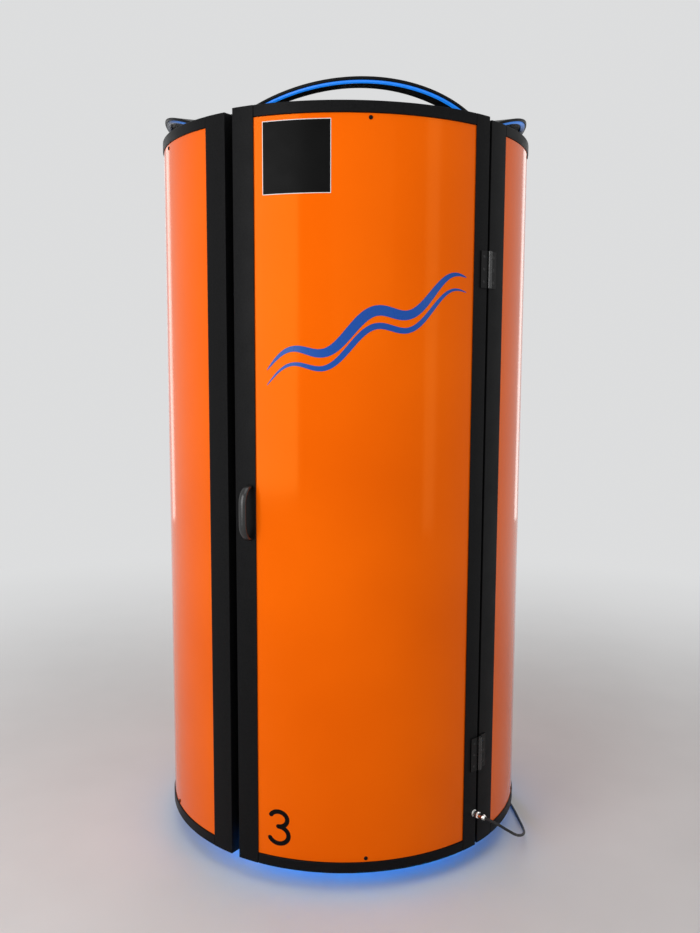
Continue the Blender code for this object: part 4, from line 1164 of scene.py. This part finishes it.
def make_wave():
    """Plain blue wave stripes that rise across the door."""
    strokes = []
    for drop, width in WAVE_STRIPES:
        points = []
        for k in range(WAVE_STEPS + 1):
            share = k / WAVE_STEPS
            rise = WAVE_RISE * share + WAVE_HEIGHT * math.sin(2 * math.pi * WAVE_COUNT * share)
            points.append(((share - 0.5) * WAVE_LENGTH, rise + drop))
        edges = stroke_edges(points, lambda share: WAVE_TIP + width * math.sin(math.pi * share) ** WAVE_TAPER)
        strokes.append(on_door(edges, WAVE_ANGLE, WAVE_FOOT))
    vinyl("door_wave_stripes", strokes, VINYL_BLUE)


def make_buttons():
    """Domed push buttons, each in a slim collar on the control panel."""
    for node, material, slot in (
        ("start_button", GREEN, "green_button"), ("stop_button", RED, "red_button"),
    ):
        low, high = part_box(node)
        r = (high.x - low.x) / 2
        length = high.y - low.y
        middle = Vector((0, high.y, (low.z + high.z) / 2))
        form = bmesh.new()
        profile = [(r, 0), *((r * share, length - depth) for share, depth in BUTTON_DOME)]
        dome(form, profile, BUTTON_SIDES, middle, FORWARD)
        piece(node + "_cap", form, material, node, (node,), edge=0)
        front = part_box("control_panel")[0].y
        form = bmesh.new()
        profile = [(r + margin, height) for margin, height in BUTTON_COLLAR]
        ring(form, profile, BUTTON_SIDES, Vector((0, front - FIT, middle.z)), FORWARD)
        piece(node + "_collar", form, STEEL, "cabinet", edge=0)


def smooth_group():
    """Geometry nodes that join a CAD node's facets and shade them smooth, with its real edges kept."""
    group = bpy.data.node_groups.new("smooth_facets", "GeometryNodeTree")
    group.interface.new_socket("Geometry", in_out="INPUT", socket_type="NodeSocketGeometry")
    group.interface.new_socket("Geometry", in_out="OUTPUT", socket_type="NodeSocketGeometry")
    start = group.nodes.new("NodeGroupInput")
    end = group.nodes.new("NodeGroupOutput")
    merge = group.nodes.new("GeometryNodeMergeByDistance")
    merge.inputs["Distance"].default_value = FACET_WELD
    drop = group.nodes.new("GeometryNodeRemoveAttribute")
    drop.inputs["Name"].default_value = "custom_normal"
    faces = group.nodes.new("GeometryNodeSetShadeSmooth")
    edges = group.nodes.new("GeometryNodeSetShadeSmooth")
    edges.domain = "EDGE"
    edges.inputs["Shade Smooth"].default_value = False
    angle = group.nodes.new("GeometryNodeInputMeshEdgeAngle")
    wide = group.nodes.new("FunctionNodeCompare")
    wide.inputs["B"].default_value = SHARP
    links = group.links
    links.new(start.outputs[0], merge.inputs["Geometry"])
    links.new(merge.outputs["Geometry"], drop.inputs["Geometry"])
    links.new(drop.outputs["Geometry"], faces.inputs["Geometry"])
    links.new(faces.outputs["Geometry"], edges.inputs["Geometry"])
    links.new(angle.outputs["Unsigned Angle"], wide.inputs["A"])
    links.new(wide.outputs["Result"], edges.inputs["Selection"])
    links.new(edges.outputs["Geometry"], end.inputs[0])
    return group


def dress_nodes():
    """Finishes for the CAD nodes that stay in view."""
    finishes = {
        BLACK: ["base_platform", "rear_column", "roof_plate", "control_gear_box", "fan_housing", "fan_guard"],
        HINGE: [node for node, body in HINGE_LEAVES],
        PLASTIC: ["fan_rotor", "control_panel"],
        BRIGHT: ["left_reflector", "right_reflector", "door_reflector"],
        STEEL: ["catch_magnet", "catch_strike", "upper_hinge_pin", "lower_hinge_pin", "base_gland"],
    }
    group = smooth_group()
    for material, names in finishes.items():
        for name in names:
            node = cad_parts[name]
            node.data.materials.clear()
            node.data.materials.append(material)
            smooth = node.modifiers.new("smooth_facets", "NODES")
            smooth.node_group = group


bpy.context.scene.view_settings.view_transform = "Standard"
make_camera()
make_cable()
make_connector()
make_world()
make_floor()
make_lights()
make_underglow()
make_skins()
make_rear_cover()
make_uprights()
make_plinth()
make_mat()
make_crown()
make_lamps()
make_handle()
make_screws()
make_plate()
make_numeral()
make_wave()
make_buttons()
dress_nodes()
